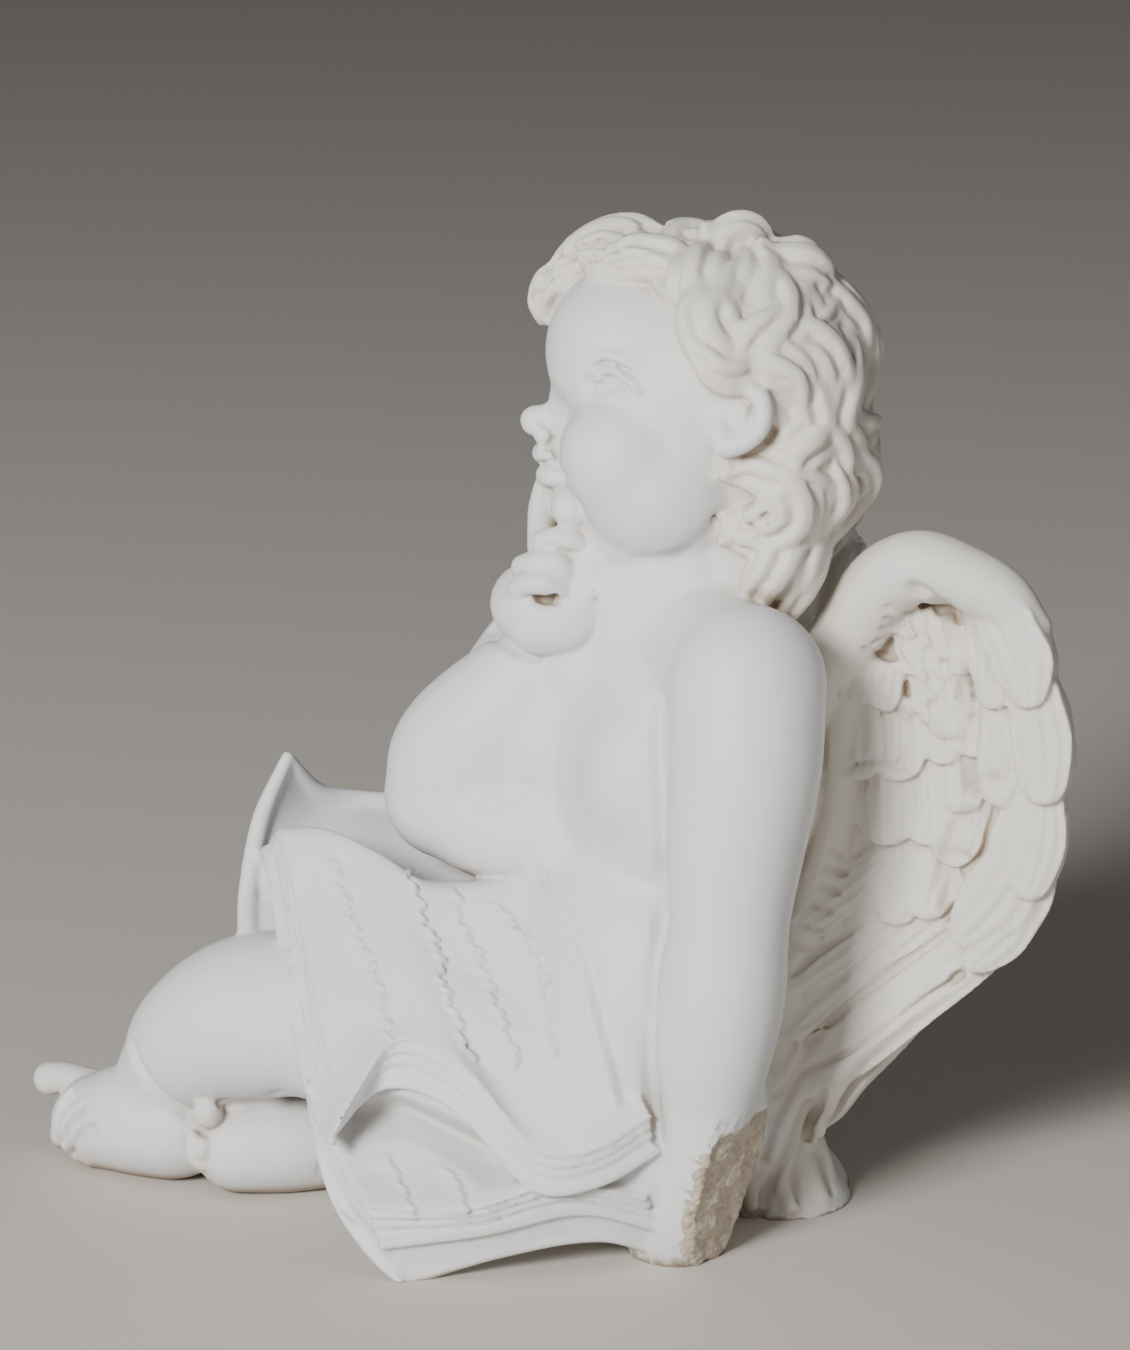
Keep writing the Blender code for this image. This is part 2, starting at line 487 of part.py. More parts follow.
def plumage(clay, place):
    """Feathers in layers: the long ones below, the outer and middle ones, then rows of short strands."""
    half = 0.5 * FEATHER_WIDTH / MM
    for row, rise in ((LONG_FEATHERS, 1.3), (OUTER_FEATHERS, 1.4), (MIDDLE_FEATHERS, 1.5)):
        for points, share, lift in row:
            feather(clay, place, points, half * share, lift, rise)
    strands = ((5, 0.36, 0.135, 0.08, 0.015, 0.7), (5, 0.29, 0.07, 0.083, 0.02, 0.9),
               (5, 0.24, -0.01, 0.09, 0.025, 1.1))
    for row, (count, s, t, across, down, lift) in enumerate(strands):
        for k in range(count):
            odd = uneven(5 * row + k, 1.0)
            root = (s + across * k + 0.01 * odd, t + down * k)
            tip = (root[0] + 0.07 - 0.01 * k, root[1] + 0.085 + 0.012 * odd)
            feather(clay, place, [root, tip], half * 0.5, lift + 0.15 * odd, 1.0, 2)
    for k in range(6):
        root = (0.0 + 0.052 * k, 0.06 + 0.013 * k)
        feather(clay, place, [root, (root[0] - 0.03, root[1] + 0.08)], half * 0.42, 0.9, 0.9, 2)
    rim = [place(1.0, t, 0.3) for t in (0.66, 0.74, 0.82, 0.90, 0.97)]
    limb(clay, rim, [0.9, 1.1, 1.1, 1.0, 0.8], 12)


def wing_back(place):
    """The places on the back of a wing, counted outwards from it."""
    def spot(s, t, lift):
        return place(s, t, -lift - WING_DEPTH / MM * (1.0 - 0.36 * (s + 0.25)))
    return spot


def wings(clay):
    """Both wings: a plate, rows of feathers on both sides and a smooth roll along the leading edge."""
    half = 0.5 * FEATHER_WIDTH / MM
    for place in (left_wing, right_wing):
        behind = wing_back(place)
        slab(clay, lambda u, v: place(1.25 * u - 0.25, v, 0.0),
             lambda u, v: behind(1.25 * u - 0.25, v, 0.0))
        limb(clay, [place(0.0, 0.1 * k, -1.5) for k in range(9)], [3.0] * 9, 14)
        plumage(clay, place)
        for row, length in ((0.40, 0.56), (0.18, 0.34), (0.0, 0.28)):
            for k in range(6):
                odd = uneven(k, 1.0)
                start = (0.10 + 0.15 * k, row + 0.02 * odd)
                tip = (start[0] + 0.03, start[1] + length * (1 + 0.05 * odd))
                feather(clay, behind, [start, tip], half * 1.15, -0.2 + 1.2 * (0.4 - row), 1.4)
    radii = [3.6, 3.8, 4.0, 3.8, 3.6, 3.1, 2.2]
    spread = np.array((-0.34, -0.14, 0.0))
    limb(clay, LEADING, radii)
    limb(clay, [across_torso(p) * (1, 1, 0.95) + spread * 2 * k for k, p in enumerate(LEADING)], radii)


def trunk(clay):
    """The flared prop behind the figure, where the wings meet the ground."""
    left = [(-6, 24.6, -3), (-4.6, 24.2, 3), (-2.6, 24.2, 9), (-0.4, 26.4, 16), (0.6, 29.4, 22)]
    right = [(-11, 24.6, -3), (-10.6, 24.2, 3), (-10, 24.4, 9), (-11.6, 25.4, 16), (-13, 27, 22)]
    for root in (left, right):
        limb(clay, root, [8.8, 6.4, 4.6, 3.4, 1.6])


def flutes(clay):
    """The long feathers of both wings, twisting down into the prop and fading into its flared foot."""
    fans = ((left_wing, -5.0, (-75, -40, -5, 30, 65)), (right_wing, -11.0, (255, 220, 185, 150, 115)))
    for place, centre, turns in fans:
        for k, turn in enumerate(turns):
            down = []
            for r, z, twist in ((4.0, 10.0, 0), (5.0, 5.0, 10), (6.4, 1.4, 22)):
                angle = math.radians(turn + twist)
                down.append((centre + r * math.cos(angle), 24.0 + r * math.sin(angle), z))
            above = [place(0.1 + 0.2 * k, 0.76, 0.2), place(0.15 + 0.18 * k, 0.88, 0.9)]
            limb(clay, above + down, [1.2, 1.3, 1.5, 1.6, 1.2], 12)


def on_cap(y, z):
    """The place on the left side of the hair cap that is seen at (y, z) from the side."""
    best = SKULL[0]
    for (cx, cy, cz), (rx, ry, rz) in HAIR_CAP:
        room = 1 - ((y - cy) / ry) ** 2 - ((z - cz) / rz) ** 2
        if room > 0:
            best = max(best, cx + rx * math.sqrt(room))
    return best, y, z


def lock(clay, tree, points, width=1.0, rise=0.0):
    """One wavy lock, pressed onto the head along the points, with two grooves along its back."""
    way = spline(points, 9 * len(points))
    spots = [tree.find_nearest(Vector(p)) for p in way]
    normals = np.array([s[1] for s in spots])
    f = np.linspace(0, 1, len(way))
    lift = LOCK_DEPTH / MM * (0.20 + 0.22 * np.sin(f * math.pi * 3 + 5 * points[0][1]) + rise)
    way = np.array([s[0] for s in spots]) + normals * lift[:, None]
    taper = np.minimum(1, 0.45 + 2.2 * f) * np.clip(1 - (np.clip(f - 0.55, 0, 1) / 0.47) ** 2, 0.22, 1)
    half = 0.5 * width * LOCK_WIDTH / MM * taper
    depth = 0.66 * LOCK_DEPTH / MM * (0.4 + 0.6 * taper)
    ribbon(clay, way, normals, half, depth, ridges=6, relief=0.2)


SIDE_LOCKS = [
    [(18.4, 105.0), (16.4, 105.6), (14.2, 105.2), (12.8, 103.2), (13.8, 101.2), (15.6, 100.0)],
    [(17.0, 104.4), (18.6, 102.4), (17.0, 100.4), (15.6, 98.4), (16.8, 96.4), (19.2, 95.6), (21.4, 96.2)],
    [(19.0, 102.4), (17.0, 99.8), (18.8, 97.6), (21.6, 98.2), (22.6, 101.0)],
    [(20.6, 104.2), (23.6, 104.4), (25.4, 101.6), (23.6, 99.2), (21.6, 99.6)],
    [(25.4, 97.0), (28.4, 98.2), (31.4, 97.2), (32.6, 94.2), (33.2, 91.0)],
    [(21.0, 97.6), (24.6, 97.2), (27.2, 94.2), (28.0, 90.0), (26.8, 85.8), (23.4, 84.4)],
    [(29.0, 95.2), (28.4, 91.0), (30.0, 87.2), (32.6, 86.6)],
    [(17.0, 84.6), (20.4, 84.4), (23.6, 83.4), (24.4, 80.0), (21.4, 77.4), (18.4, 78.6), (18.0, 75.8)],
    [(24.2, 84.2), (27.0, 82.6), (26.6, 78.6), (23.4, 75.0), (21.2, 71.6), (20.6, 68.6)],
    [(29.0, 85.4), (31.2, 82.0), (30.6, 78.0), (27.6, 74.6), (25.6, 70.6), (24.4, 67.6)],
    [(15.2, 96.4), (17.0, 94.9), (19.4, 94.6), (22.0, 94.9), (24.2, 93.0), (24.6, 89.2)],
    [(14.4, 104.4), (15.6, 103.2), (14.8, 101.2), (13.6, 99.8)],
    [(17.4, 100.8), (16.4, 98.4), (18.4, 96.4), (20.8, 97.2)],
    [(20.4, 105.8), (24.4, 104.4), (27.6, 102.0), (29.0, 98.6)],
    [(19.6, 104.0), (21.2, 102.2), (20.2, 99.8), (18.2, 98.8)],
    [(25.6, 92.2), (26.4, 89.0), (24.6, 86.2), (21.6, 85.2)],
    [(27.8, 84.0), (28.6, 80.6), (26.4, 77.2), (24.6, 73.4), (23.4, 69.0)],
]
# Width, rise and places of the locks over the brow and on top
FRINGE = [
    (1.0, 0.0, [(2.4, 16, 105.6), (1.6, 12, 106.2), (0.0, 8.4, 105.6), (-1.8, 5.4, 104), (-3.2, 4, 102)]),
    (1.0, 0.0, [(-1, 15.5, 105.6), (-4, 11, 105.6), (-6.4, 7, 105), (-8.2, 3.6, 103.4), (-7.6, 2, 101)]),
    (1.0, 0.3, [(-5.5, 13.5, 104.6), (-8, 8.6, 103.6), (-9.6, 3.0, 102), (-11, -2.6, 101.4),
                (-11.4, -3.6, 99.0)]),
    (0.9, 0.2, [(-8, 7.0, 102.4), (-10.4, 1.6, 100.2), (-11.6, -1.6, 98.4), (-11.8, 0.2, 95.4)]),
    (1.05, 0.4, [(-9, 12, 103), (-11.6, 7, 103), (-12.8, 2.8, 101), (-13.2, 0, 98.4), (-13.6, 1.6, 95.8)]),
    (1.2, 0.3, [(-12, 12, 101), (-14.6, 8.0, 99), (-15.2, 5.4, 95.6), (-14.8, 6.4, 92.4)]),
    (0.8, 0.6, [(0.8, 15.6, 106.0), (1.2, 17.2, 107.2), (0.8, 19.2, 107.2), (-0.4, 21.2, 105.8)]),
    (1.2, 0.0, [(-5.0, 14.0, 106.2), (-6.6, 17.5, 106.0), (-5.6, 21.0, 105.0), (-3.0, 24.0, 103.6)]),
    (1.2, 0.4, [(2.5, 20.5, 104.6), (1.8, 23.5, 104.4), (1.0, 26.5, 103.4), (-0.5, 28.6, 101.8)]),
]


def hair(clay, tree):
    """Wavy locks: the ones at each side, the fringe, the top, and rows down the back."""
    for row in SIDE_LOCKS:
        points = [on_cap(y, z) for y, z in row]
        lock(clay, tree, points)
        lock(clay, tree, [across_head(p) for p in points])
    for width, rise, points in FRINGE:
        lock(clay, tree, points, width, rise)
    for k in range(BACK_LOCKS):
        turn = math.radians(-62 + 124 * k / (BACK_LOCKS - 1))
        points = []
        for j in range(7):
            fall = math.radians(70 - 19 * j)
            swing = turn + 0.16 * math.sin(2.1 * j + k)
            reach = 15.5 * max(math.cos(fall), 0.25)
            across, back = reach * math.sin(swing), reach * math.cos(swing)
            points.append((-3 + across, 17 + back, 91 + 15.5 * math.sin(fall)))
        lock(clay, tree, points, 1.05)


def mesh_from(clay, name):
    """Turns a lump of clay into an object."""
    mesh = bpy.data.meshes.new(name)
    bmesh.ops.recalc_face_normals(clay, faces=clay.faces)
    clay.to_mesh(mesh)
    clay.free()
    made = bpy.data.objects.new(name, mesh)
    bpy.context.scene.collection.objects.link(made)
    return made


def evaluated(shape):
    """The mesh that an object's modifiers give; the object itself is removed."""
    bpy.context.view_layer.update()
    made = bpy.data.meshes.new_from_object(shape.evaluated_get(bpy.context.evaluated_depsgraph_get()))
    bpy.data.objects.remove(shape)
    return made


def settle(shape, grain, passes):
    """Fuses an object's overlapping forms into one skin and smooths it."""
    fuse = shape.modifiers.new("fuse", "REMESH")
    fuse.mode = "VOXEL"
    fuse.voxel_size = grain / MM
    ease = shape.modifiers.new("ease", "SMOOTH")
    ease.factor = 0.5
    ease.iterations = round(passes)
    return evaluated(shape)


def outer_skin(mesh):
    """Deletes every shell but the largest, which fills the pockets that strands close between them."""
    shape = bmesh.new()
    shape.from_mesh(mesh)
    unseen = set(shape.verts)
    shells = []
    while unseen:
        start = unseen.pop()
        shell, edge = [start], [start]
        while edge:
            vert = edge.pop()
            for link in vert.link_edges:
                other = link.other_vert(vert)
                if other in unseen:
                    unseen.discard(other)
                    shell.append(other)
                    edge.append(other)
        shells.append(shell)
    shells.sort(key=len)
    bmesh.ops.delete(shape, geom=[v for shell in shells[:-1] for v in shell], context="VERTS")
    shape.to_mesh(mesh)
    shape.free()


def level(shape):
    """Cuts the underside flat where the figurine stands. Returns the cutter."""
    block = bmesh.new()
    size = Matrix.Diagonal((300, 300, 40, 1))
    bmesh.ops.create_cube(block, size=1, matrix=Matrix.Translation((0, 0, -20)) @ size)
    mesh = bpy.data.meshes.new("ground")
    block.to_mesh(mesh)
    block.free()
    tool = bpy.data.objects.new("ground", mesh)
    tool.display_type = "WIRE"
    tool.hide_render = True
    bpy.context.scene.collection.objects.link(tool)
    cut = shape.modifiers.new("level", "BOOLEAN")
    cut.operation = "DIFFERENCE"
    cut.solver = "EXACT"
    cut.object = tool
    return tool


def bounds(mesh):
    """The least and the greatest corner of a mesh."""
    places = np.empty(len(mesh.vertices) * 3)
    mesh.vertices.foreach_get("co", places)
    places = places.reshape(-1, 3)
    return places.min(0), places.max(0)


def plaster():
    """White casting plaster, matt and a little warm."""
    made = bpy.data.materials.new("white casting plaster")
    made.use_nodes = True
    shader = made.node_tree.nodes["Principled BSDF"]
    shader.inputs["Base Color"].default_value = (*PLASTER, 1.0)
    shader.inputs["Roughness"].default_value = 0.8
    return made


def build():
    """Models the figurine and stands it with the middle of its box's underside at the origin."""
    for stale in list(bpy.data.objects):
        bpy.data.objects.remove(stale)
    flesh = bmesh.new()
    for form in (torso, head, arms, legs, trunk):
        form(flesh)
    flesh_mesh = settle(mesh_from(flesh, "flesh"), FLESH_GRAIN, FLESH_PASSES)
    clay = bmesh.new()
    clay.from_mesh(flesh_mesh)
    hollows(clay)
    tree = BVHTree.FromBMesh(clay)
    for form in (fist, toes, stump, book, wings, flutes):
        form(clay)
    for form in (face, hair):
        form(clay, tree)
    body = settle(mesh_from(clay, "body"), FINISH_GRAIN, FINISH_PASSES)
    outer_skin(body)
    rough = bpy.data.objects.new("rough", body)
    bpy.context.scene.collection.objects.link(rough)
    thin = rough.modifiers.new("thin", "DECIMATE")
    thin.ratio = min(1.0, TRIANGLES / (2.0 * len(body.polygons)))
    tool = level(rough)
    figure = evaluated(rough)
    bpy.data.objects.remove(tool)
    low, high = bounds(figure)
    size = HEIGHT / (high[2] - low[2])
    middle = Vector((-(low[0] + high[0]) / 2, -(low[1] + high[1]) / 2, -low[2]))
    figure.transform(Matrix.Scale(size, 4) @ Matrix.Translation(middle))
    figurine = bpy.data.objects.new("figurine", figure)
    figure.materials.append(plaster())
    holder = bpy.data.collections.new("cherub figurine")
    bpy.context.scene.collection.children.link(holder)
    holder.objects.link(figurine)
    return figurine


if __name__ == "__main__":
    build()
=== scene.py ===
"""Cherub figurine: a putto with an open book, cast in white plaster and laid up like clay."""

import math

import bmesh
import bpy
import numpy as np
from mathutils import Euler, Matrix, Vector, noise
from mathutils.bvhtree import BVHTree


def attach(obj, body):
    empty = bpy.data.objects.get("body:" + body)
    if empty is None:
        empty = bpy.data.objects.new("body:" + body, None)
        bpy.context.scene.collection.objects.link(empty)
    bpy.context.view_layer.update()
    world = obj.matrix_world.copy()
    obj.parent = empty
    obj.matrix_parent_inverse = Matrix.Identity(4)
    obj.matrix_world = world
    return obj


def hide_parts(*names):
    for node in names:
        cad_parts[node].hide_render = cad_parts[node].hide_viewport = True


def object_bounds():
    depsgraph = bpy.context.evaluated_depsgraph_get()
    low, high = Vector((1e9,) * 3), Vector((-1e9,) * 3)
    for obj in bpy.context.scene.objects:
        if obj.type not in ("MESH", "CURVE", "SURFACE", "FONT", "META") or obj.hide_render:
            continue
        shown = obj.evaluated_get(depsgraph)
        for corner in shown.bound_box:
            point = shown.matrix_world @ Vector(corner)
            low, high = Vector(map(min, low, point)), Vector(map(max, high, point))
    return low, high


bl_info = {
    "name": "Cherub Figurine",
    "version": (1, 0, 0),
    "blender": (4, 5, 0),
    "location": "View3D > Sidebar > Cherub",
    "description": "Models a cast plaster cherub with an open book and sets it on a plain floor",
    "category": "Add Mesh",
}

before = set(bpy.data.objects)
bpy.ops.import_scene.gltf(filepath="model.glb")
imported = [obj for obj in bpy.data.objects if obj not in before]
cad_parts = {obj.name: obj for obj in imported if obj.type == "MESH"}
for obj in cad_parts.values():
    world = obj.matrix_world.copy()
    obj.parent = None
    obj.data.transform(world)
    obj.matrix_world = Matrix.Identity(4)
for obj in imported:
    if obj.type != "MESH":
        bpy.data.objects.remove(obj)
CAD_BOX = [[float(x) for x in corner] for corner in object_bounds()]

MM = 1000  # Millimetres in a metre
# Places are in millimetres of the model: X runs to the figure's left, which the front view shows, Y to
# its back and Z up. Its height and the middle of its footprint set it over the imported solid.
MODEL_HEIGHT = 109.7908
MODEL_MIDDLE = (-7.447, -1.867)
# Steps along each side of a sheet or a slab
GRID = 48
# The place that the front view is seen from, on which the marks of the carving are lined up
FRONT_EYE = (533.7, 1.5, 193.1)
TORSO_YAW = 20.0
HEAD_YAW = -6.0
CHEST = (-1.0, 14.0, 50.0)
SKULL = (-3.0, 16.5, 90.5)
LEFT_SHOULDER = (15.6, 20.2, 63.0)
RIGHT_SHOULDER = (-18.0, 4.5, 62.0)
HAIR_CAP = (((-3.0, 16.6, 91.0), (14.4, 14.2, 12.9)), ((-3.0, 22.4, 83.4), (12.8, 9.4, 10.5)),
            ((-3.0, 21.2, 75.0), (11.2, 7.6, 8.5)))
# The broken face at the wrist: a place on it and the way that it looks
BREAK_AT = Vector((16.2, 19.6, 9.0))
BREAK_OUT = Vector((0.62, 0.70, -0.35))


def linear(code):
    """An sRGB hex colour as the linear numbers that shaders and lights take."""
    parts = [int(code[i:i + 2], 16) / 255 for i in (1, 3, 5)]
    return tuple(c / 12.92 if c <= 0.04045 else ((c + 0.055) / 1.055) ** 2.4 for c in parts)


def spline(points, count):
    """A smooth curve through the points, at count even steps."""
    given = np.array(points, float)
    ends = np.vstack([2 * given[0] - given[1], given, 2 * given[-1] - given[-2]])
    step = np.linspace(0, len(given) - 1, count)
    i = np.minimum(step.astype(int), len(given) - 2)
    f = (step - i)[:, None]
    a, b, c, d = ends[i], ends[i + 1], ends[i + 2], ends[i + 3]
    bend = (2 * a - 5 * b + 4 * c - d) * f**2 + (3 * b - a - 3 * c + d) * f**3
    return 0.5 * (2 * b + (c - a) * f + bend)


def unit(v):
    """The vectors at length one."""
    return v / np.maximum(np.linalg.norm(v, axis=-1, keepdims=True), 1e-9)


def skin(clay, rings):
    """Closes a surface over a row of rings, with a cap at each end."""
    rows = [[clay.verts.new(p) for p in ring] for ring in rings]
    sides = len(rows[0])
    for a, b in zip(rows, rows[1:]):
        for k in range(sides):
            clay.faces.new((a[k], a[(k + 1) % sides], b[(k + 1) % sides], b[k]))
    clay.faces.new(rows[0][::-1])
    clay.faces.new(rows[-1])


def ball(clay, centre, radii, yaw=0.0, pitch=0.0, roll=0.0):
    """An ellipsoid of clay. Angles are in degrees: yaw about Z, pitch about X and roll about Y."""
    radii = (radii,) * 3 if isinstance(radii, (int, float)) else radii
    turn = Euler([math.radians(a) for a in (pitch, roll, yaw)]).to_matrix().to_4x4()
    place = Matrix.Translation(Vector(centre)) @ turn @ Matrix.Diagonal((*radii, 1))
    steps = 4 if max(radii) > 6 else 3
    bmesh.ops.create_icosphere(clay, subdivisions=steps, radius=1, matrix=place)


def limb(clay, points, radii, sides=20):
    """A round limb through the points, thick as the radii say, with a ball at each end."""
    path = spline([(*p, r) for p, r in zip(points, radii)], 8 * len(points))
    way, size = path[:, :3], path[:, 3:]
    ahead = unit(np.gradient(way, axis=0))
    side = unit(np.cross(ahead, (0.31, 0.55, 0.78)))
    over = np.cross(side, ahead)
    turn = np.linspace(0, 2 * math.pi, sides, endpoint=False)[:, None]
    rings = zip(way, size, side, over)
    skin(clay, [p + r * (np.cos(turn) * s + np.sin(turn) * o) for p, r, s, o in rings])
    for p, r in ((way[0], size[0]), (way[-1], size[-1])):
        ball(clay, p, float(r[0]))


def along(line, f):
    """The place at the share f of a line of even steps."""
    last = len(line) - 1
    f = min(max(f, 0.0), 1.0) * last
    i = min(int(f), last - 1)
    return line[i] * (1 - f + i) + line[i + 1] * (f - i)


class Sheet:
    """The surface that four edge curves enclose. Near and far run along u, left and right along v."""

    def __init__(self, near, far, left, right, curl=1.0):
        self.curl = curl
        self.edges = [spline(curve, GRID + 1) for curve in (near, far, left, right)]

    def at(self, u, v):
        near, far, left, right = self.edges
        start = along(left, v) - (1 - v) * near[0] - v * far[0]
        end = along(right, v) - (1 - v) * near[-1] - v * far[-1]
        between = (1 - v) * along(near, u) + v * along(far, u)
        return between + max(1 - u, 0.0) ** self.curl * start + u * end


def slab(clay, top, bottom, lines=0, groove=0.0):
    """A block between two surfaces of (u, v), with lines of pages let into its edges."""
    layers = max(4 * lines, 1)
    ladder = np.linspace(0, 1, GRID + 1)
    upper = np.array([[top(a, b) for b in ladder] for a in ladder])
    lower = np.array([[bottom(a, b) for b in ladder] for a in ladder])
    middle = 0.5 * (upper + lower).mean((0, 1))
    verts = {}

    def vert(i, j, k):
        if (i, j, k) not in verts:
            f = k / layers
            p = upper[i, j] * (1 - f) + lower[i, j] * f
            if i in (0, GRID) or j in (0, GRID):
                depth = groove * 0.5 * (1 - math.cos(2 * math.pi * lines * f))
                p = p + depth * unit(middle - p)
            verts[i, j, k] = clay.verts.new(p)
        return verts[i, j, k]

    def tile(*corners):
        clay.faces.new([vert(*corner) for corner in corners])

    for i in range(GRID):
        for j in range(GRID):
            for k in (0, layers):
                tile((i, j, k), (i + 1, j, k), (i + 1, j + 1, k), (i, j + 1, k))
    for k in range(layers):
        for i in range(GRID):
            for j in (0, GRID):
                tile((i, j, k), (i + 1, j, k), (i + 1, j, k + 1), (i, j, k + 1))
                tile((j, i, k), (j, i + 1, k), (j, i + 1, k + 1), (j, i, k + 1))


def across_plane(point, centre, yaw):
    """The point's reflection in the upright middle plane of a body part that is turned by yaw."""
    a = math.radians(yaw)
    normal = np.array((math.cos(a), math.sin(a), 0.0))
    p = np.array(point, float)
    return p - 2 * np.dot(p - centre, normal) * normal


def across_head(point):
    return across_plane(point, SKULL, HEAD_YAW)


def across_torso(point):
    return across_plane(point, CHEST, TORSO_YAW)


def midline(y, z):
    """The place on the middle plane of the head at (y, z)."""
    return SKULL[0] - (y - SKULL[1]) * math.tan(math.radians(HEAD_YAW)), y, z


def press(mesh, marks, way_in=None):
    """Presses marks into a mesh, each a line of points, its radius and its depth, negative for a ridge.

    Marks go in square to the surface, or along way_in where forms overlap in steps.
    """
    count = len(mesh.vertices)
    places, outward = np.empty(count * 3), np.empty(count * 3)
    mesh.vertices.foreach_get("co", places)
    mesh.vertex_normals.foreach_get("vector", outward)
    places, outward = places.reshape(-1, 3), outward.reshape(-1, 3)
    for points, radius, depth in marks:
        way = spline(points, 8 * len(points)) if len(points) > 1 else np.array(points, float)
        low, high = way.min(0) - radius, way.max(0) + radius
        close = np.nonzero(((places > low) & (places < high)).all(1))[0]
        if len(close):
            apart = np.full(len(close), np.inf)
            for a, b in zip(way, way[1:] if len(way) > 1 else way):
                share = np.clip((places[close] - a) @ (b - a) / max(np.dot(b - a, b - a), 1e-9), 0, 1)
                off = places[close] - a - share[:, None] * (b - a)
                apart = np.minimum(apart, np.linalg.norm(off, axis=1))
            push = depth * np.clip(1 - (apart / radius) ** 2, 0, 1) ** 2
            facing = outward[close] if way_in is None else way_in
            places[close] -= facing * push[:, None]
    mesh.vertices.foreach_set("co", places.ravel())
    mesh.update()


def torso(clay):
    """Hips, belly, chest, shoulders and neck."""
    ball(clay, (-2, 8.5, 13), (19, 14.5, 14.5), yaw=TORSO_YAW)
    ball(clay, (0.5, 8.5, 29), (17.5, 13.5, 15), yaw=TORSO_YAW)
    ball(clay, (6, 7.2, 21), (13, 11, 17))
    ball(clay, CHEST, (18.0, 14.0, 17.0), yaw=TORSO_YAW)
    ball(clay, (7.0, 9.4, 51.4), (8.0, 6.8, 8.8))
    ball(clay, (-6, 4.0, 51.0), (8, 6.4, 9.0))
    limb(clay, [(-2, 14, 58), (-2.2, 13.4, 68), (-3, 15, 78)], [11.5, 9.6, 9.6])
    for shoulder in (LEFT_SHOULDER, RIGHT_SHOULDER):
        limb(clay, [(-2, 14, 64.5), shoulder], [7.5, 7.4])


def head(clay):
    """Skull, brow, cheeks, jaw and the cap that the hair is laid on."""
    ball(clay, SKULL, (13.4, 15.0, 12.9), yaw=HEAD_YAW)
    ball(clay, midline(8.8, 94.0), (10.8, 9.4, 9.4), yaw=HEAD_YAW)
    ball(clay, midline(8.8, 85.4), (9.4, 7.6, 8.3), yaw=HEAD_YAW)
    profile = [midline(2.6, 94.0), midline(2.2, 90.0), midline(1.6, 86.0), midline(1.8, 82.0)]
    limb(clay, profile, [2.2, 2.2, 2.4, 2.2])
    cheek, jaw = (5.0, 7.6, 84.6), (3.6, 11.4, 81.4)
    for place in (np.array, across_head):
        ball(clay, place(cheek), (6.8, 6.8, 6.6))
        ball(clay, place(jaw), (8.4, 8.6, 7.8))
    ball(clay, midline(9.0, 77.6), (8.6, 7.4, 6.4))
    ball(clay, (-1.0, 12.4, 74.6), (8.0, 8.4, 5.6))
    ball(clay, midline(3.2, 77.8), 3.4)
    ball(clay, (-2.4, 2.4, 78.3), (3.0, 2.2, 2.2))
    for centre, radii in HAIR_CAP:
        ball(clay, centre, radii, yaw=HEAD_YAW)


# Eye sockets, the corners of the mouth and a fold of the neck, as marks for press
HOLLOWS = []
for place in (np.array, across_head):
    HOLLOWS.append(([place((1.8, 4.0, 92.9)), place((4.6, 6.4, 93.0))], 3.3, 1.5))
    HOLLOWS.append(([place((0.4, 0.9, 82.0))], 2.2, 0.9))
HOLLOWS.append(([(6.0, 12.0, 73.4), (10.0, 15.0, 75.0)], 2.0, 0.6))


def pressed(tree, points, lift):
    """The points, moved onto the skin of what is already fused and raised by lift."""
    spots = [tree.find_nearest(Vector(p)) for p in points]
    return [np.array(s[0]) + lift * np.array(s[1]) for s in spots]


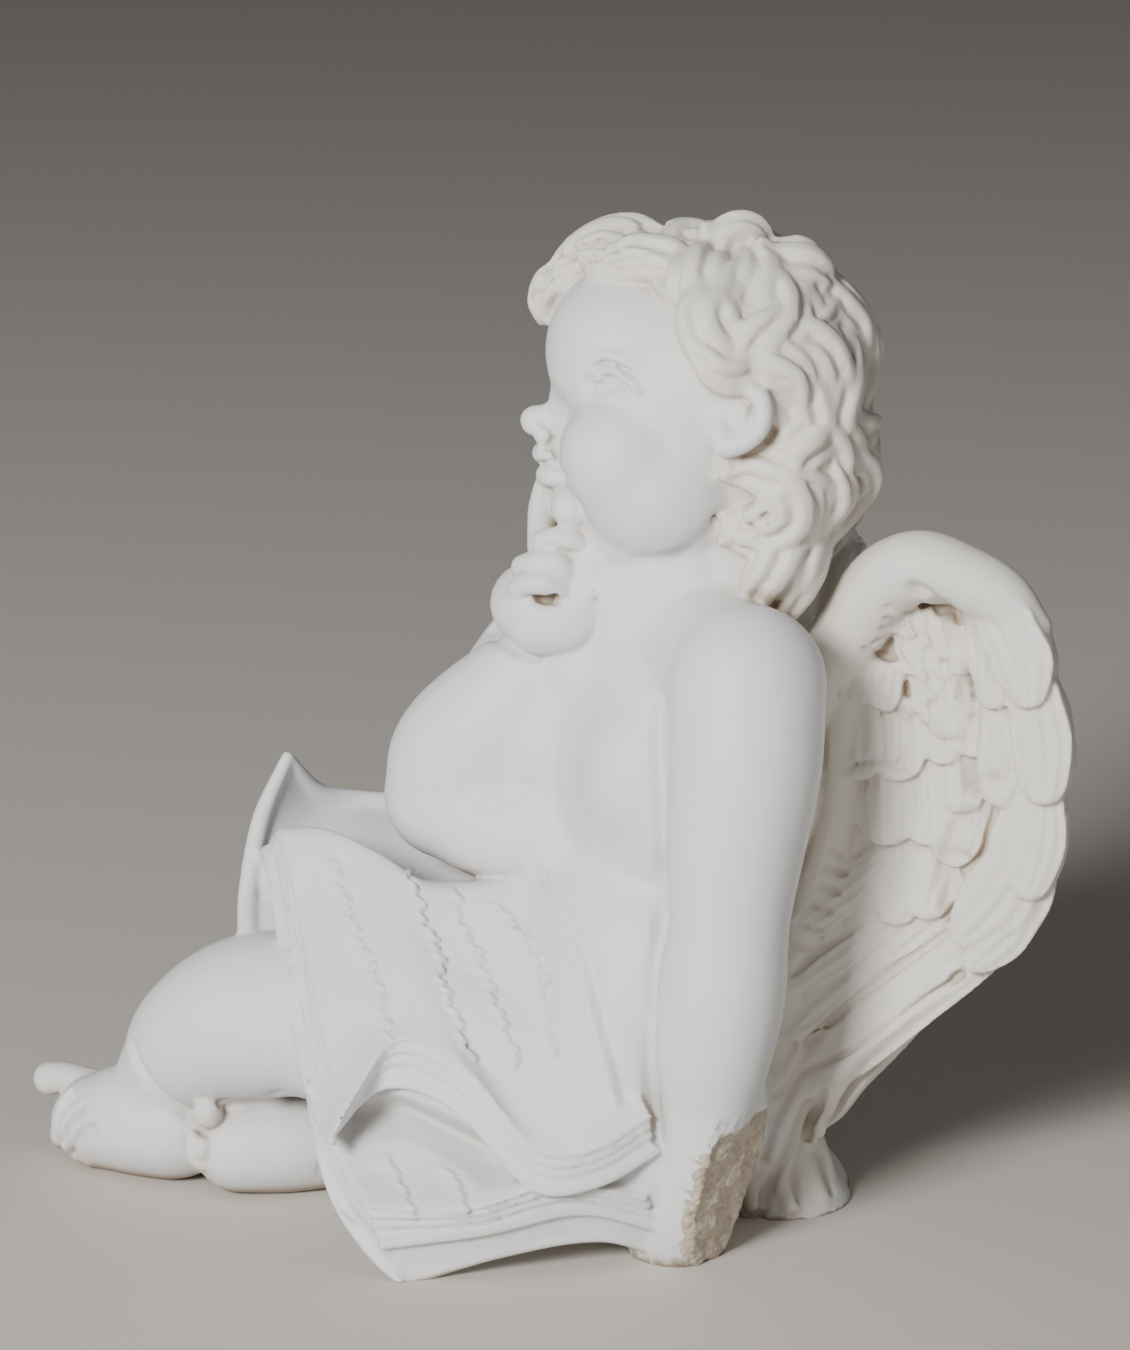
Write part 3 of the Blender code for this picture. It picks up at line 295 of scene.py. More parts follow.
def face(clay, tree):
    """Nose, lips, eyelids and ears."""
    nose = [midline(3.8, 91.6), midline(1.9, 88.6), midline(0.1, 86.9), midline(-1.6, 86.3)]
    limb(clay, nose, [1.7, 1.5, 1.4, 1.6])
    ball(clay, midline(-1.5, 85.8), (1.9, 1.5, 1.1))
    ball(clay, midline(0.0, 83.8), (0.9, 1.3, 1.3))
    ball(clay, (0.2, 2.4, 78.1), 2.4)
    upper_lip = [(-1.4, 1.4, 82.2), (-2.6, -0.3, 82.9), midline(-0.9, 82.9)]
    lower_lip = [(-1.6, 1.6, 80.6), (-2.8, 0.1, 80.6), midline(-0.5, 80.5)]
    for lip, thick in ((upper_lip, 0.95), (lower_lip, 1.0)):
        far = [across_head(p) for p in reversed(lip[:2])]
        limb(clay, lip + far, [0.6, thick, thick * 1.1, thick, 0.6])
    eyeball = seen(tree, 7, [(6.2, 92.7)])[0]
    lid = seen(tree, 7, [(4.7, 92.9), (5.6, 93.9), (7.0, 93.6), (8.3, 92.6), (9.3, 91.7)])
    fold = seen(tree, 7, [(4.5, 94.9), (5.7, 95.5), (7.4, 95.0), (9.4, 93.7)])
    low = seen(tree, 7, [(5.0, 91.7), (6.4, 91.1), (8.2, 91.5)])
    rim = [(11.4, 18.1, 92.2), (12.2, 19.9, 92.9), (12.9, 21.3, 92.2), (13.2, 21.7, 90.6)]
    rim += [(13.0, 21.2, 88.8), (12.4, 19.7, 87.4), (11.8, 17.8, 86.9), (11.3, 17.3, 87.8)]
    inner = [(12.0, 18.8, 91.4), (12.3, 19.7, 90.9), (12.3, 19.6, 89.7), (12.0, 18.9, 89.1)]
    for place in (np.array, across_head):
        ball(clay, pressed(tree, [place(eyeball)], -0.75)[0], 1.5)
        limb(clay, pressed(tree, [place(p) for p in lid], 0.35), [0.35, 0.5, 0.55, 0.5, 0.3], sides=10)
        limb(clay, pressed(tree, [place(p) for p in fold], 0.0), [0.35, 0.55, 0.55, 0.3], sides=10)
        limb(clay, pressed(tree, [place(p) for p in low], 0.1), [0.3, 0.42, 0.3], sides=10)
        ball(clay, place((-3.3, -0.6, 85.1)), (1.1, 1.2, 1.2))
        limb(clay, [place(p) for p in rim], [0.7, 0.9, 1.0, 1.0, 1.0, 1.05, 1.2, 1.0], sides=12)
        limb(clay, [place(p) for p in inner], [0.5, 0.55, 0.55, 0.5], sides=12)
        ball(clay, place((11.0, 17.4, 89.6)), (1.2, 1.3, 1.6))
        ball(clay, place((10.0, 19.8, 90.0)), (2.2, 3.2, 3.7))


def arms(clay):
    """The left arm, straight down to the ground, and the right one, propped on the book."""
    left = [LEFT_SHOULDER, (18.2, 20.0, 55), (19.0, 18.9, 46), (19.4, 18.4, 38.5), (19.2, 17.7, 31)]
    left += [(18.8, 16.9, 24), (18.3, 16.6, 19)]
    limb(clay, left, [8.2, 7.9, 7.2, 6.3, 6.7, 6.1, 5.0])
    limb(clay, [RIGHT_SHOULDER, (-15, -3, 53), (-9.5, -7.0, 45)], [8.3, 8.0, 7.0])
    forearm = [(-8, -11.0, 44.8), (-7.5, -9.4, 49.5), (-6, -4.6, 55.5), (-4.5, -0.6, 61.0)]
    limb(clay, forearm, [7.0, 7.8, 6.9, 5.0])
    ball(clay, (-3, 3.0, 50), (6, 8, 11))
    ball(clay, (-2.5, 5.0, 61), (5.5, 6.5, 8))
    ball(clay, (-1.5, 4.5, 69), (5, 6, 7))
    limb(clay, [(-8, -10, 44.6), (-4.8, -5.8, 42.8), (-1.8, -0.6, 42.2)], [6.9, 6.6, 5.6])


def legs(clay):
    """Bent legs crossed at the ankles: the left shin passes over the right foot."""
    limb(clay, [(7, 10, 13), (6, -4, 18), (2, -15, 21.5), (-3, -23.5, 20.5)], [12, 11.5, 10.0, 8.6])
    shin = [(-4, -26.0, 21.5), (-7, -33.0, 20.0), (-9.5, -38.6, 16.6), (-12, -42.0, 12.0)]
    limb(clay, shin, [9.0, 9.0, 7.6, 5.8])
    limb(clay, [(-12.5, -41.5, 6.6), (-14.5, -46.0, 6.0), (-16.5, -50.0, 5.0)], [6.8, 6.4, 5.4])
    limb(clay, [(-12, 10, 14), (-22, -2, 22), (-28, -14, 27), (-28, -19, 27)], [12, 11.5, 10.5, 9.5])
    limb(clay, [(-28, -20, 26), (-24, -25, 18), (-18, -28, 10), (-13, -28, 6)], [9, 8.5, 7, 5])
    limb(clay, [(-10, -23, 5.0), (-8.5, -29, 5.2), (-7.5, -34.0, 5.0)], [5.2, 5.6, 5.1])
    ball(clay, (-13.5, -33, 8), (5.5, 6.0, 7.5))


def fist(clay):
    """The right hand under the chin: a curled fist, and a finger up the far cheek."""
    ball(clay, (-2.4, -1.4, 67.2), (5.4, 5.0, 4.6))
    limb(clay, [(0.0, -1.0, 66.0), (0.8, 2.0, 66.6), (0.6, 3.8, 69.4)], [3.8, 3.6, 2.8])
    upper = [(0.8, -1.0, 74.8), (1.5, 0.4, 75.1), (1.6, 2.2, 74.9), (1.0, 3.7, 74.4)]
    middle = [(0.4, -2.9, 71.8), (1.8, -1.1, 72.5), (2.3, 0.8, 72.2), (2.0, 1.7, 71.1)]
    lower = [(1.4, -3.6, 69.5), (2.6, -2.5, 70.5), (3.3, -0.7, 70.6), (3.0, 0.9, 69.7)]
    for finger, thick in ((upper, 1.15), (middle, 1.4), (lower, 1.25)):
        limb(clay, finger, [0.9 * thick, thick, thick, 0.8 * thick])
    ball(clay, (-1.0, 1.6, 71.8), (2.8, 2.6, 3.4))
    limb(clay, [(-5.0, -0.8, 72.6), (-5.4, -0.9, 76.6), (-5.6, -0.6, 79.2)], [1.7, 1.5, 1.15])
    ball(clay, (-8.4, 2.6, 76.5), (2.4, 3.2, 4.2))


def toes(clay):
    """Toes of both feet."""
    limb(clay, [(-19, -50, 7.4), (-21.6, -54.0, 8.2), (-22.8, -56.1, 7.8)], [2.4, 1.8, 1.9])
    for k in range(4):
        x, y = -19.6 + 2.0 * k, 1.2 * k
        toe = [(x, -50.4 + y, 7.4), (x - 0.4, -53.6 + y, 5.4), (x - 0.4, -54.4 + y, 2.1)]
        limb(clay, toe, [1.8, 1.75, 1.6], 14)
    ball(clay, (-4.6, -37.2, 10.1), (1.9, 1.6, 1.9))
    ball(clay, (-4.1, -37.8, 6.0), (1.1, 1.0, 1.3))
    curled = [(-4.9, -38.9, 7.2), (-4.4, -39.0, 5.4), (-4.4, -38.0, 4.1), (-4.6, -36.8, 4.3)]
    limb(clay, curled, [0.7, 0.75, 0.75, 0.6], 12)


def stump(clay):
    """The left wrist and what is left of the hand, broken off along a slanting face."""
    wrist = bmesh.new()
    way = [(18.4, 16.6, 24), (17.0, 17.0, 14), (13.0, 14.4, 5), (10.2, 12.6, -2)]
    limb(wrist, way, [5.4, 5.6, 5.3, 5.0])
    spare = wrist.verts[:] + wrist.edges[:] + wrist.faces[:]
    bmesh.ops.bisect_plane(wrist, geom=spare, plane_co=BREAK_AT, plane_no=BREAK_OUT, clear_outer=True)
    bmesh.ops.holes_fill(wrist, edges=[e for e in wrist.edges if e.is_boundary])
    piece = bpy.data.meshes.new("stump")
    wrist.to_mesh(piece)
    wrist.free()
    clay.from_mesh(piece)


def near_page():
    """The written surface of the near pages, from the gutter (v = 0) to the fore edge (v = 1)."""
    gutter = [(-12, -32.2, 30), (-8, -20, 33), (-5, -6, 33)]
    fore = [(18, -20.8, 18.6), (14, -15.7, 24.2), (19, -8.3, 22.1), (22, -1.1, 14.6), (22, 5.1, 14.9)]
    fore += [(20, 10.8, 17.8)]
    head_edge = [(-11.5, -30.4, 37.2), (-8, -29.1, 40.8), (-1, -27.2, 33.4), (7, -25.0, 25.5)]
    head_edge += [(13, -22.8, 19.8)]
    belly_edge = [(-1, -4.5, 38), (3, -0.6, 38.4), (7, 1, 35.4), (11, 2.8, 31.6), (16, 6.2, 25.4)]
    left_edge, right_edge = [gutter[0], *head_edge, fore[0]], [gutter[-1], *belly_edge, fore[-1]]
    return Sheet(gutter, fore, left_edge, right_edge, 1.6)


def lower_page():
    """The page that shows under the lifted block."""
    gutter = [(0, -27, 26), (4, -12, 26), (8, 4, 24)]
    fore = [(21.5, -19.2, 8.4), (22.2, -8.4, 8.3), (21.0, 1.0, 10.6), (19.0, 10.4, 8.3)]
    head_edge = [gutter[0], (9, -24.4, 18.4), (14, -22.6, 12.0), fore[0]]
    belly_edge = [gutter[-1], (11, 7, 19), (15, 9, 12), fore[-1]]
    return Sheet(gutter, fore, head_edge, belly_edge)


def book(clay, sizes):
    """The open book: the near pages in two blocks, the far pages with their corner curled up."""
    block, groove, lines = MM * sizes.page_block, MM * sizes.page_groove, sizes.page_lines
    pages, low_pages = near_page(), lower_page()

    def under_pages(u, v):
        thick = 0.68 + 0.3 * v * (1 + math.exp(-((u - 0.2) / 0.12) ** 2))
        return pages.at(u, v) - block * np.array((0.71 - 0.6 * v, 0.40 - 0.58 * u + 0.12 * v, thick))

    slab(clay, pages.at, under_pages, lines, groove)
    limb(clay, [under_pages(0.05 * k, 1.0) + (-0.4, 0, 0.4) for k in range(21)], [0.55] * 21, 12)
    limb(clay, [under_pages(0.0, 0.05 * k) + (0.2, 0.4, 0.2) for k in range(21)], [0.55] * 21, 12)
    cover_gutter = [(-6, -26, 14), (0, -12, 8), (4, 4, 4)]
    cover_fore = [(20.6, -15.7, -1.0), (19.6, -5.3, 2.0), (17.5, 5.2, 3.0), (14.5, 13.0, -0.4)]
    cover_head = [cover_gutter[0], (8, -25.4, 13), (16, -22.0, 5.0), cover_fore[0]]
    cover_belly = [cover_gutter[-1], (9, 8, 4), (13, 11, 2), cover_fore[-1]]
    cover = Sheet(cover_gutter, cover_fore, cover_head, cover_belly)
    inset = np.array((-0.8, 0.1, 0.0))

    def low_middle(u, v):
        return 0.5 * (low_pages.at(u, v) + cover.at(u, v))

    slab(clay, low_pages.at, low_middle, lines, groove)
    limb(clay, [low_middle(0.05 * k, 1.0) + (-0.3, 0, 0.3) for k in range(21)], [0.5] * 21, 12)

    def cover_top(u, v):
        return low_middle(u, v) + inset * v

    slab(clay, cover_top, lambda u, v: cover.at(u, v) + 0.4 * inset * v)
    rim = [cover.at(0.1 * k, 1.0) + 0.4 * inset + (-0.4, 0, 0.6) for k in range(11)]
    limb(clay, rim, [0.7] * 11, 12)
    limb(clay, [cover.at(0.0, 0.2 * k) + (0, 0.3, 0.6) for k in range(6)], [0.6] * 6, 12)
    far_gutter = [(-8, -32.8, 28.7), (-8, -20, 33), (-5, -4, 33)]
    far_edge = [(-18, -28.8, 46.2), (-22.5, -25.6, 41.0), (-25, -20, 39.4), (-25, -10, 38.6)]
    far_edge += [(-22, 4, 37)]
    far_head = [far_gutter[0], (-12, -32.9, 33.0), (-15.5, -31.6, 40.0), far_edge[0]]
    far_belly = [far_gutter[-1], (-12, 0, 36), far_edge[-1]]
    far_pages = Sheet(far_gutter, far_edge, far_head, far_belly)

    def under_far_pages(u, v):
        thick = block - 1.6 * v
        return far_pages.at(u, v) - thick * np.array((0.75 - 0.5 * u, -0.2, 0.55 + 0.35 * u))

    slab(clay, far_pages.at, under_far_pages)
    limb(clay, far_head, [1.2, 1.1, 1.0, 0.7], 12)
    limb(clay, far_edge, [0.7, 1.1, 1.1, 1.1, 1.1], 12)


# The left wing's edges from the shoulder down to the prop, its roll, and the way that its front looks
INNER_LINE = spline([(3.0, 31.6, 64.0), (2.8, 30.6, 57.5), (2.6, 29.6, 47.1), (2.0, 27.4, 35.9),
                     (1.0, 24.4, 24.4), (0.2, 22.8, 15.1), (-0.6, 22.0, 7.0)], 61)
OUTER_LINE = spline([(9.6, 46.9, 69.8), (11.1, 49.8, 64.0), (11.7, 51.0, 53.0), (11.0, 50.0, 42.5),
                     (9.2, 45.8, 33.8), (6.4, 39.0, 26.2), (3.0, 31.8, 17.6), (1.0, 28.2, 8.0)], 61)
LEADING = [(0.5, 26.8, 56.0), (2.4, 30.8, 64.4), (4.0, 34.3, 70.4), (5.7, 38.2, 73.0),
           (7.4, 42.6, 72.1), (9.0, 46.6, 70.4), (10.4, 49.6, 67.4)]
WING_FRONT = np.array((0.92, -0.39, 0.0))
# How the right wing differs from the left one's reflection: lower, and spread to the side
RIGHT_LOWER = (1, 1, 0.95)
RIGHT_SPREAD = np.array((-0.34, -0.14, 0.0))


def left_wing(s, t, lift):
    """A place on the left wing's front: s from the body outwards, t from the shoulder to the prop."""
    a, b = along(INNER_LINE, t), along(OUTER_LINE, t)
    swell = math.sin(math.pi * min(max(s, 0.0), 1.0))
    rest = max(1 - t, 0.0)
    arch = np.array((0.0, 0.0, 4.2 * swell * rest**5))
    return a * (1 - s) + b * s + arch + WING_FRONT * (lift - 2.6 * swell * rest**0.5)


def right_wing(s, t, lift):
    """The same place on the right wing, which is lower, spread wider and meets the same prop."""
    p = across_torso(left_wing(s, t, lift)) * RIGHT_LOWER
    sideways = RIGHT_SPREAD * 12 * s * (1 - t)
    centre = np.array((-5.0, 24.0, p[2]))
    return (p + sideways) * (1 - t**3) + centre * t**3


def feather(clay, place, points, half, lift, rise=1.2, furrows=4):
    """One feather along points across and down the wing, lying like a roof tile.

    It rises from lift to its tip, and has a quill, furrows along the vane and a ragged round tip.
    """
    path = spline([(*p, 0.0) for p in points], 14 + 7 * len(points))
    f = np.linspace(0, 1, len(path))
    way = np.array([place(p[0], p[1], lift + rise * a) for p, a in zip(path, f)])
    out = unit(place(*points[0], 1.0) - place(*points[0], 0.0))
    ahead = unit(np.gradient(way, axis=0))
    side = unit(np.cross(ahead, out))
    blunt = np.sqrt(np.clip(1 - (np.clip(f - 0.7, 0, 1) / 0.315) ** 2, 0.02, 1))
    widths = half * (0.66 + 0.34 * np.clip(2.2 * f, 0, 1)) * blunt
    across = np.linspace(-1, 1, 19)
    seed = 9 * points[0][0] + 7 * points[0][1]
    rings = []
    for k, (p, s, w) in enumerate(zip(way, side, widths)):
        sway = 0.25 * math.sin(4 * f[k] + seed)
        furrow = 1 - np.abs(np.cos(math.pi * furrows * 0.5 * (across + 0.12 * sway * across**2)))
        quill = np.exp(-(across / 0.13) ** 2) * (1 - f[k])
        crown = 0.15 + 0.45 * (1 - across**2) + 0.25 * quill
        crown = crown - 0.55 * furrow * min(1.0, 0.4 + 2 * f[k])
        ragged = 1 + 0.05 * math.sin(17 * f[k] + 5 * seed)
        top = p + (across * w * ragged)[:, None] * s + crown[:, None] * out
        under = p + (across[::-1] * w * 0.9)[:, None] * s - (lift + rise * f[k] + 0.8) * out
        rings.append(np.concatenate((top, under)))
    skin(clay, rings)


def uneven(k):
    """A shift between -1 and 1 that differs from one feather to the next."""
    return math.sin(12.9 * k + 1.3)


# Each feather's places across and down the wing, its share of the width and its root's lift
LONG_FEATHERS = (
    ([(0.96, 0.44), (1.00, 0.60), (0.88, 0.78), (0.42, 0.90)], 1.0, -0.4),
    ([(0.94, 0.48), (0.84, 0.64), (0.38, 0.83)], 1.0, -0.2),
    ([(0.76, 0.48), (0.48, 0.61), (0.14, 0.74)], 0.95, 0.0),
    ([(0.55, 0.46), (0.30, 0.55), (0.02, 0.64)], 0.85, 0.2),
    ([(0.36, 0.42), (0.18, 0.48), (-0.04, 0.55)], 0.75, 0.3),
    ([(1.00, 0.38), (1.06, 0.50), (1.05, 0.63)], 0.9, 0.2),
)
OUTER_FEATHERS = (
    ([(0.90, 0.30), (0.96, 0.40), (0.86, 0.57)], 1.2, 1.0),
    ([(0.98, 0.28), (1.03, 0.36), (1.05, 0.48)], 0.85, 0.8),
    ([(0.78, 0.17), (0.84, 0.25), (0.80, 0.34)], 1.0, 1.1),
    ([(0.95, 0.14), (1.01, 0.22), (1.03, 0.33)], 1.05, 1.0),
    ([(0.74, 0.03), (0.78, 0.12), (0.79, 0.21)], 0.9, 1.4),
    ([(0.88, -0.01), (0.96, 0.08), (0.99, 0.20)], 1.1, 1.4),
)
MIDDLE_FEATHERS = (
    ([(0.34, 0.38), (0.43, 0.54)], 1.05, 0.1), ([(0.52, 0.38), (0.58, 0.53)], 0.9, 0.2),
    ([(0.66, 0.30), (0.60, 0.44)], 0.9, 0.3), ([(0.20, 0.27), (0.30, 0.41)], 1.05, 0.2),
    ([(0.40, 0.28), (0.49, 0.41)], 1.0, 0.3), ([(0.56, 0.25), (0.63, 0.36)], 0.85, 0.3),
    ([(0.10, 0.18), (0.12, 0.30)], 0.85, 0.4), ([(0.27, 0.19), (0.30, 0.31)], 0.95, 0.4),
    ([(0.45, 0.18), (0.52, 0.29)], 0.9, 0.4), ([(0.60, 0.17), (0.66, 0.28)], 0.75, 0.5),
)


def plumage(clay, place, sizes):
    """Feathers in layers: the long ones below, the outer and middle ones, then rows of short strands."""
    half = 0.5 * MM * sizes.feather_width
    for row, rise in ((LONG_FEATHERS, 1.3), (OUTER_FEATHERS, 1.4), (MIDDLE_FEATHERS, 1.5)):
        for points, share, lift in row:
            feather(clay, place, points, half * share, lift, rise)
    # Each row's first root, the step to the next one and its lift
    in_row = 5
    rows = ((0.36, 0.135, 0.08, 0.015, 0.7), (0.29, 0.07, 0.083, 0.02, 0.9),
            (0.24, -0.01, 0.09, 0.025, 1.1))
    for row, (s, t, across, down, lift) in enumerate(rows):
        for k in range(in_row):
            odd = uneven(in_row * row + k)
            root = (s + across * k + 0.01 * odd, t + down * k)
            tip = (root[0] + 0.07 - 0.01 * k, root[1] + 0.085 + 0.012 * odd)
            feather(clay, place, [root, tip], half * 0.5, lift + 0.15 * odd, 1.0, 2)
    for k in range(6):
        root = (0.0 + 0.052 * k, 0.06 + 0.013 * k)
        feather(clay, place, [root, (root[0] - 0.03, root[1] + 0.08)], half * 0.42, 0.9, 0.9, 2)
    rim = [place(1.0, t, 0.3) for t in (0.66, 0.74, 0.82, 0.90, 0.97)]
    limb(clay, rim, [0.9, 1.1, 1.1, 1.0, 0.8], 12)


def wing_back(place, sizes):
    """The places on the back of a wing, counted outwards from it."""
    def spot(s, t, lift):
        return place(s, t, -lift - MM * sizes.wing_depth * (1.0 - 0.36 * (s + 0.25)))
    return spot


def wings(clay, sizes):
    """Both wings: a plate, feathers on both sides and a smooth roll along the leading edge."""
    half = 0.5 * MM * sizes.feather_width
    for place in (left_wing, right_wing):
        behind = wing_back(place, sizes)
        slab(clay, lambda u, v: place(1.25 * u - 0.25, v, 0.0),
             lambda u, v: behind(1.25 * u - 0.25, v, 0.0))
        limb(clay, [place(0.0, 0.1 * k, -1.5) for k in range(9)], [3.0] * 9, 14)
        plumage(clay, place, sizes)
        for row, length in ((0.40, 0.56), (0.18, 0.34), (0.0, 0.28)):
            for k in range(6):
                odd = uneven(k)
                start = (0.10 + 0.15 * k, row + 0.02 * odd)
                tip = (start[0] + 0.03, start[1] + length * (1 + 0.05 * odd))
                feather(clay, behind, [start, tip], half * 1.15, -0.2 + 1.2 * (0.4 - row), 1.4)
    radii = [3.6, 3.8, 4.0, 3.8, 3.6, 3.1, 2.2]
    limb(clay, LEADING, radii)
    far = [across_torso(p) * RIGHT_LOWER + RIGHT_SPREAD * 2 * k for k, p in enumerate(LEADING)]
    limb(clay, far, radii)


def trunk(clay):
    """The flared prop behind the figure, where the wings meet the ground."""
    left = [(-6, 24.6, -3), (-4.6, 24.2, 3), (-2.6, 24.2, 9), (-0.4, 26.4, 16), (0.6, 29.4, 22)]
    right = [(-11, 24.6, -3), (-10.6, 24.2, 3), (-10, 24.4, 9), (-11.6, 25.4, 16), (-13, 27, 22)]
    for root in (left, right):
        limb(clay, root, [8.8, 6.4, 4.6, 3.4, 1.6])


def flutes(clay):
    """The long feathers of both wings, twisting down into the prop and fading into its flared foot."""
    fans = ((left_wing, -5.0, (-75, -40, -5, 30, 65)), (right_wing, -11.0, (255, 220, 185, 150, 115)))
    for place, centre, turns in fans:
        for k, turn in enumerate(turns):
            down = []
            for r, z, twist in ((4.0, 10.0, 0), (5.0, 5.0, 10), (6.4, 1.4, 22)):
                angle = math.radians(turn + twist)
                down.append((centre + r * math.cos(angle), 24.0 + r * math.sin(angle), z))
            above = [place(0.1 + 0.2 * k, 0.76, 0.2), place(0.15 + 0.18 * k, 0.88, 0.9)]
            limb(clay, above + down, [1.2, 1.3, 1.5, 1.6, 1.2], 12)


def on_cap(y, z):
    """The place on the left side of the hair cap that is seen at (y, z) from the side."""
    best = SKULL[0]
    for (cx, cy, cz), (rx, ry, rz) in HAIR_CAP:
        room = 1 - ((y - cy) / ry) ** 2 - ((z - cz) / rz) ** 2
        if room > 0:
            best = max(best, cx + rx * math.sqrt(room))
    return best, y, z


def lock(clay, tree, points, sizes, width=1.0, rise=0.0):
    """One wavy lock, laid onto the head along the points."""
    deep = MM * sizes.lock_depth
    way = spline(points, 9 * len(points))
    spots = [tree.find_nearest(Vector(p)) for p in way]
    normals = np.array([s[1] for s in spots])
    f = np.linspace(0, 1, len(way))
    lift = deep * (0.20 + 0.22 * np.sin(f * math.pi * 3 + 5 * points[0][1]) + rise)
    way = np.array([s[0] for s in spots]) + normals * lift[:, None]
    taper = np.minimum(1, 0.45 + 2.2 * f) * np.clip(1 - (np.clip(f - 0.55, 0, 1) / 0.47) ** 2, 0.22, 1)
    half = 0.5 * width * MM * sizes.lock_width * taper
    thick = 0.66 * deep * (0.4 + 0.6 * taper)
    strand(clay, way, normals, half, thick, 0.28)


def strand(clay, way, normals, widths, heights, depth):
    """A lock's body: three rounded strands side by side that wander a little, with grooves between."""
    ahead = unit(np.gradient(way, axis=0))
    side = unit(np.cross(ahead, normals))
    over = np.cross(side, ahead)
    turn = np.linspace(0, 2 * math.pi, 48, endpoint=False)
    rings = []
    for k, (p, s, o, w, h) in enumerate(zip(way, side, over, widths, heights)):
        shift = 0.22 * math.sin(0.21 * k + p[2])
        rounded = np.abs(np.cos(3 * (turn - math.pi / 2 + shift)))
        swell = 1 + depth * (2 * np.clip(rounded, 0, 0.8) - 1) * np.clip(2 * np.sin(turn), 0, 1)
        across, up = w * swell * np.cos(turn), h * swell * np.sin(turn)
        rings.append(p + across[:, None] * s + up[:, None] * o)
    skin(clay, rings)


# Places (y, z) of the locks at each side of the head
SIDE_LOCKS = [
    [(18.4, 105.0), (16.4, 105.6), (14.2, 105.2), (12.8, 103.2), (13.8, 101.2), (15.6, 100.0)],
    [(17.0, 104.4), (18.6, 102.4), (17.0, 100.4), (15.6, 98.4), (16.8, 96.4), (19.2, 95.6),
     (21.4, 96.2)],
    [(19.0, 102.4), (17.0, 99.8), (18.8, 97.6), (21.6, 98.2), (22.6, 101.0)],
    [(20.6, 104.2), (23.6, 104.4), (25.4, 101.6), (23.6, 99.2), (21.6, 99.6)],
    [(25.4, 97.0), (28.4, 98.2), (31.4, 97.2), (32.6, 94.2), (33.2, 91.0)],
    [(21.0, 97.6), (24.6, 97.2), (27.2, 94.2), (28.0, 90.0), (26.8, 85.8), (23.4, 84.4)],
    [(29.0, 95.2), (28.4, 91.0), (30.0, 87.2), (32.6, 86.6)],
    [(17.0, 84.6), (20.4, 84.4), (23.6, 83.4), (24.4, 80.0), (21.4, 77.4), (18.4, 78.6), (18.0, 75.8)],
    [(24.2, 84.2), (27.0, 82.6), (26.6, 78.6), (23.4, 75.0), (21.2, 71.6), (20.6, 68.6)],
    [(29.0, 85.4), (31.2, 82.0), (29.8, 78.2), (26.4, 74.8), (24.2, 70.8), (23.2, 67.6)],
    [(15.2, 96.4), (17.0, 94.9), (19.4, 94.6), (22.0, 94.9), (24.2, 93.0), (24.6, 89.2)],
    [(14.4, 104.4), (15.6, 103.2), (14.8, 101.2), (13.6, 99.8)],
    [(17.4, 100.8), (16.4, 98.4), (18.4, 96.4), (20.8, 97.2)],
    [(20.4, 105.8), (24.4, 104.4), (27.6, 102.0), (29.0, 98.6)],
    [(19.6, 104.0), (21.2, 102.2), (20.2, 99.8), (18.2, 98.8)],
    [(25.6, 92.2), (26.4, 89.0), (24.6, 86.2), (21.6, 85.2)],
    [(27.8, 84.0), (28.6, 80.6), (26.4, 77.2), (24.6, 73.4), (23.4, 69.0)],
]
# Width, rise and places of the locks over the brow and on top
FRINGE = [
    (1.0, 0.0, [(2.4, 16, 105.6), (1.6, 12, 106.2), (0.0, 8.4, 105.6), (-1.8, 5.4, 104),
                (-3.2, 4, 102)]),
    (1.0, 0.0, [(-1, 15.5, 105.6), (-4, 11, 105.6), (-6.4, 7, 105), (-8.2, 3.6, 103.4),
                (-7.6, 2, 101)]),
    (1.0, 0.3, [(-5.5, 13.5, 104.6), (-8, 8.6, 103.6), (-9.6, 3.0, 102), (-11, -2.6, 101.4),
                (-11.4, -3.6, 99.0)]),
    (0.9, 0.2, [(-8, 7.0, 102.4), (-10.4, 1.6, 100.2), (-11.6, -1.6, 98.4), (-11.8, 0.2, 95.4)]),
    (1.05, 0.4, [(-9, 12, 103), (-11.6, 7, 103), (-12.8, 2.8, 101), (-13.2, 0, 98.4),
                 (-13.6, 1.6, 95.8)]),
    (1.2, 0.3, [(-12, 12, 101), (-14.6, 8.0, 99), (-15.2, 5.4, 95.6), (-14.8, 6.4, 92.4)]),
    (0.6, 0.5, [(1.4, 15.4, 105.2), (1.2, 16.8, 107.2), (0.6, 18.4, 107.4), (-0.4, 20.6, 106.0),
                (-1.0, 22.4, 104.8)]),
    (1.2, 0.0, [(-5.0, 14.0, 106.2), (-6.6, 17.5, 106.0), (-5.6, 21.0, 105.0), (-3.0, 24.0, 103.6)]),
    (1.2, 0.4, [(2.5, 20.5, 104.6), (1.8, 23.5, 104.4), (1.0, 26.5, 103.4), (-0.5, 28.6, 101.8)]),
]
# The locks down the back of the head, which hang from the crown around this place
BACK_OF_HEAD = (-3, 17, 91)
BACK_REACH = 15.5
BACK_LOCKS = 9


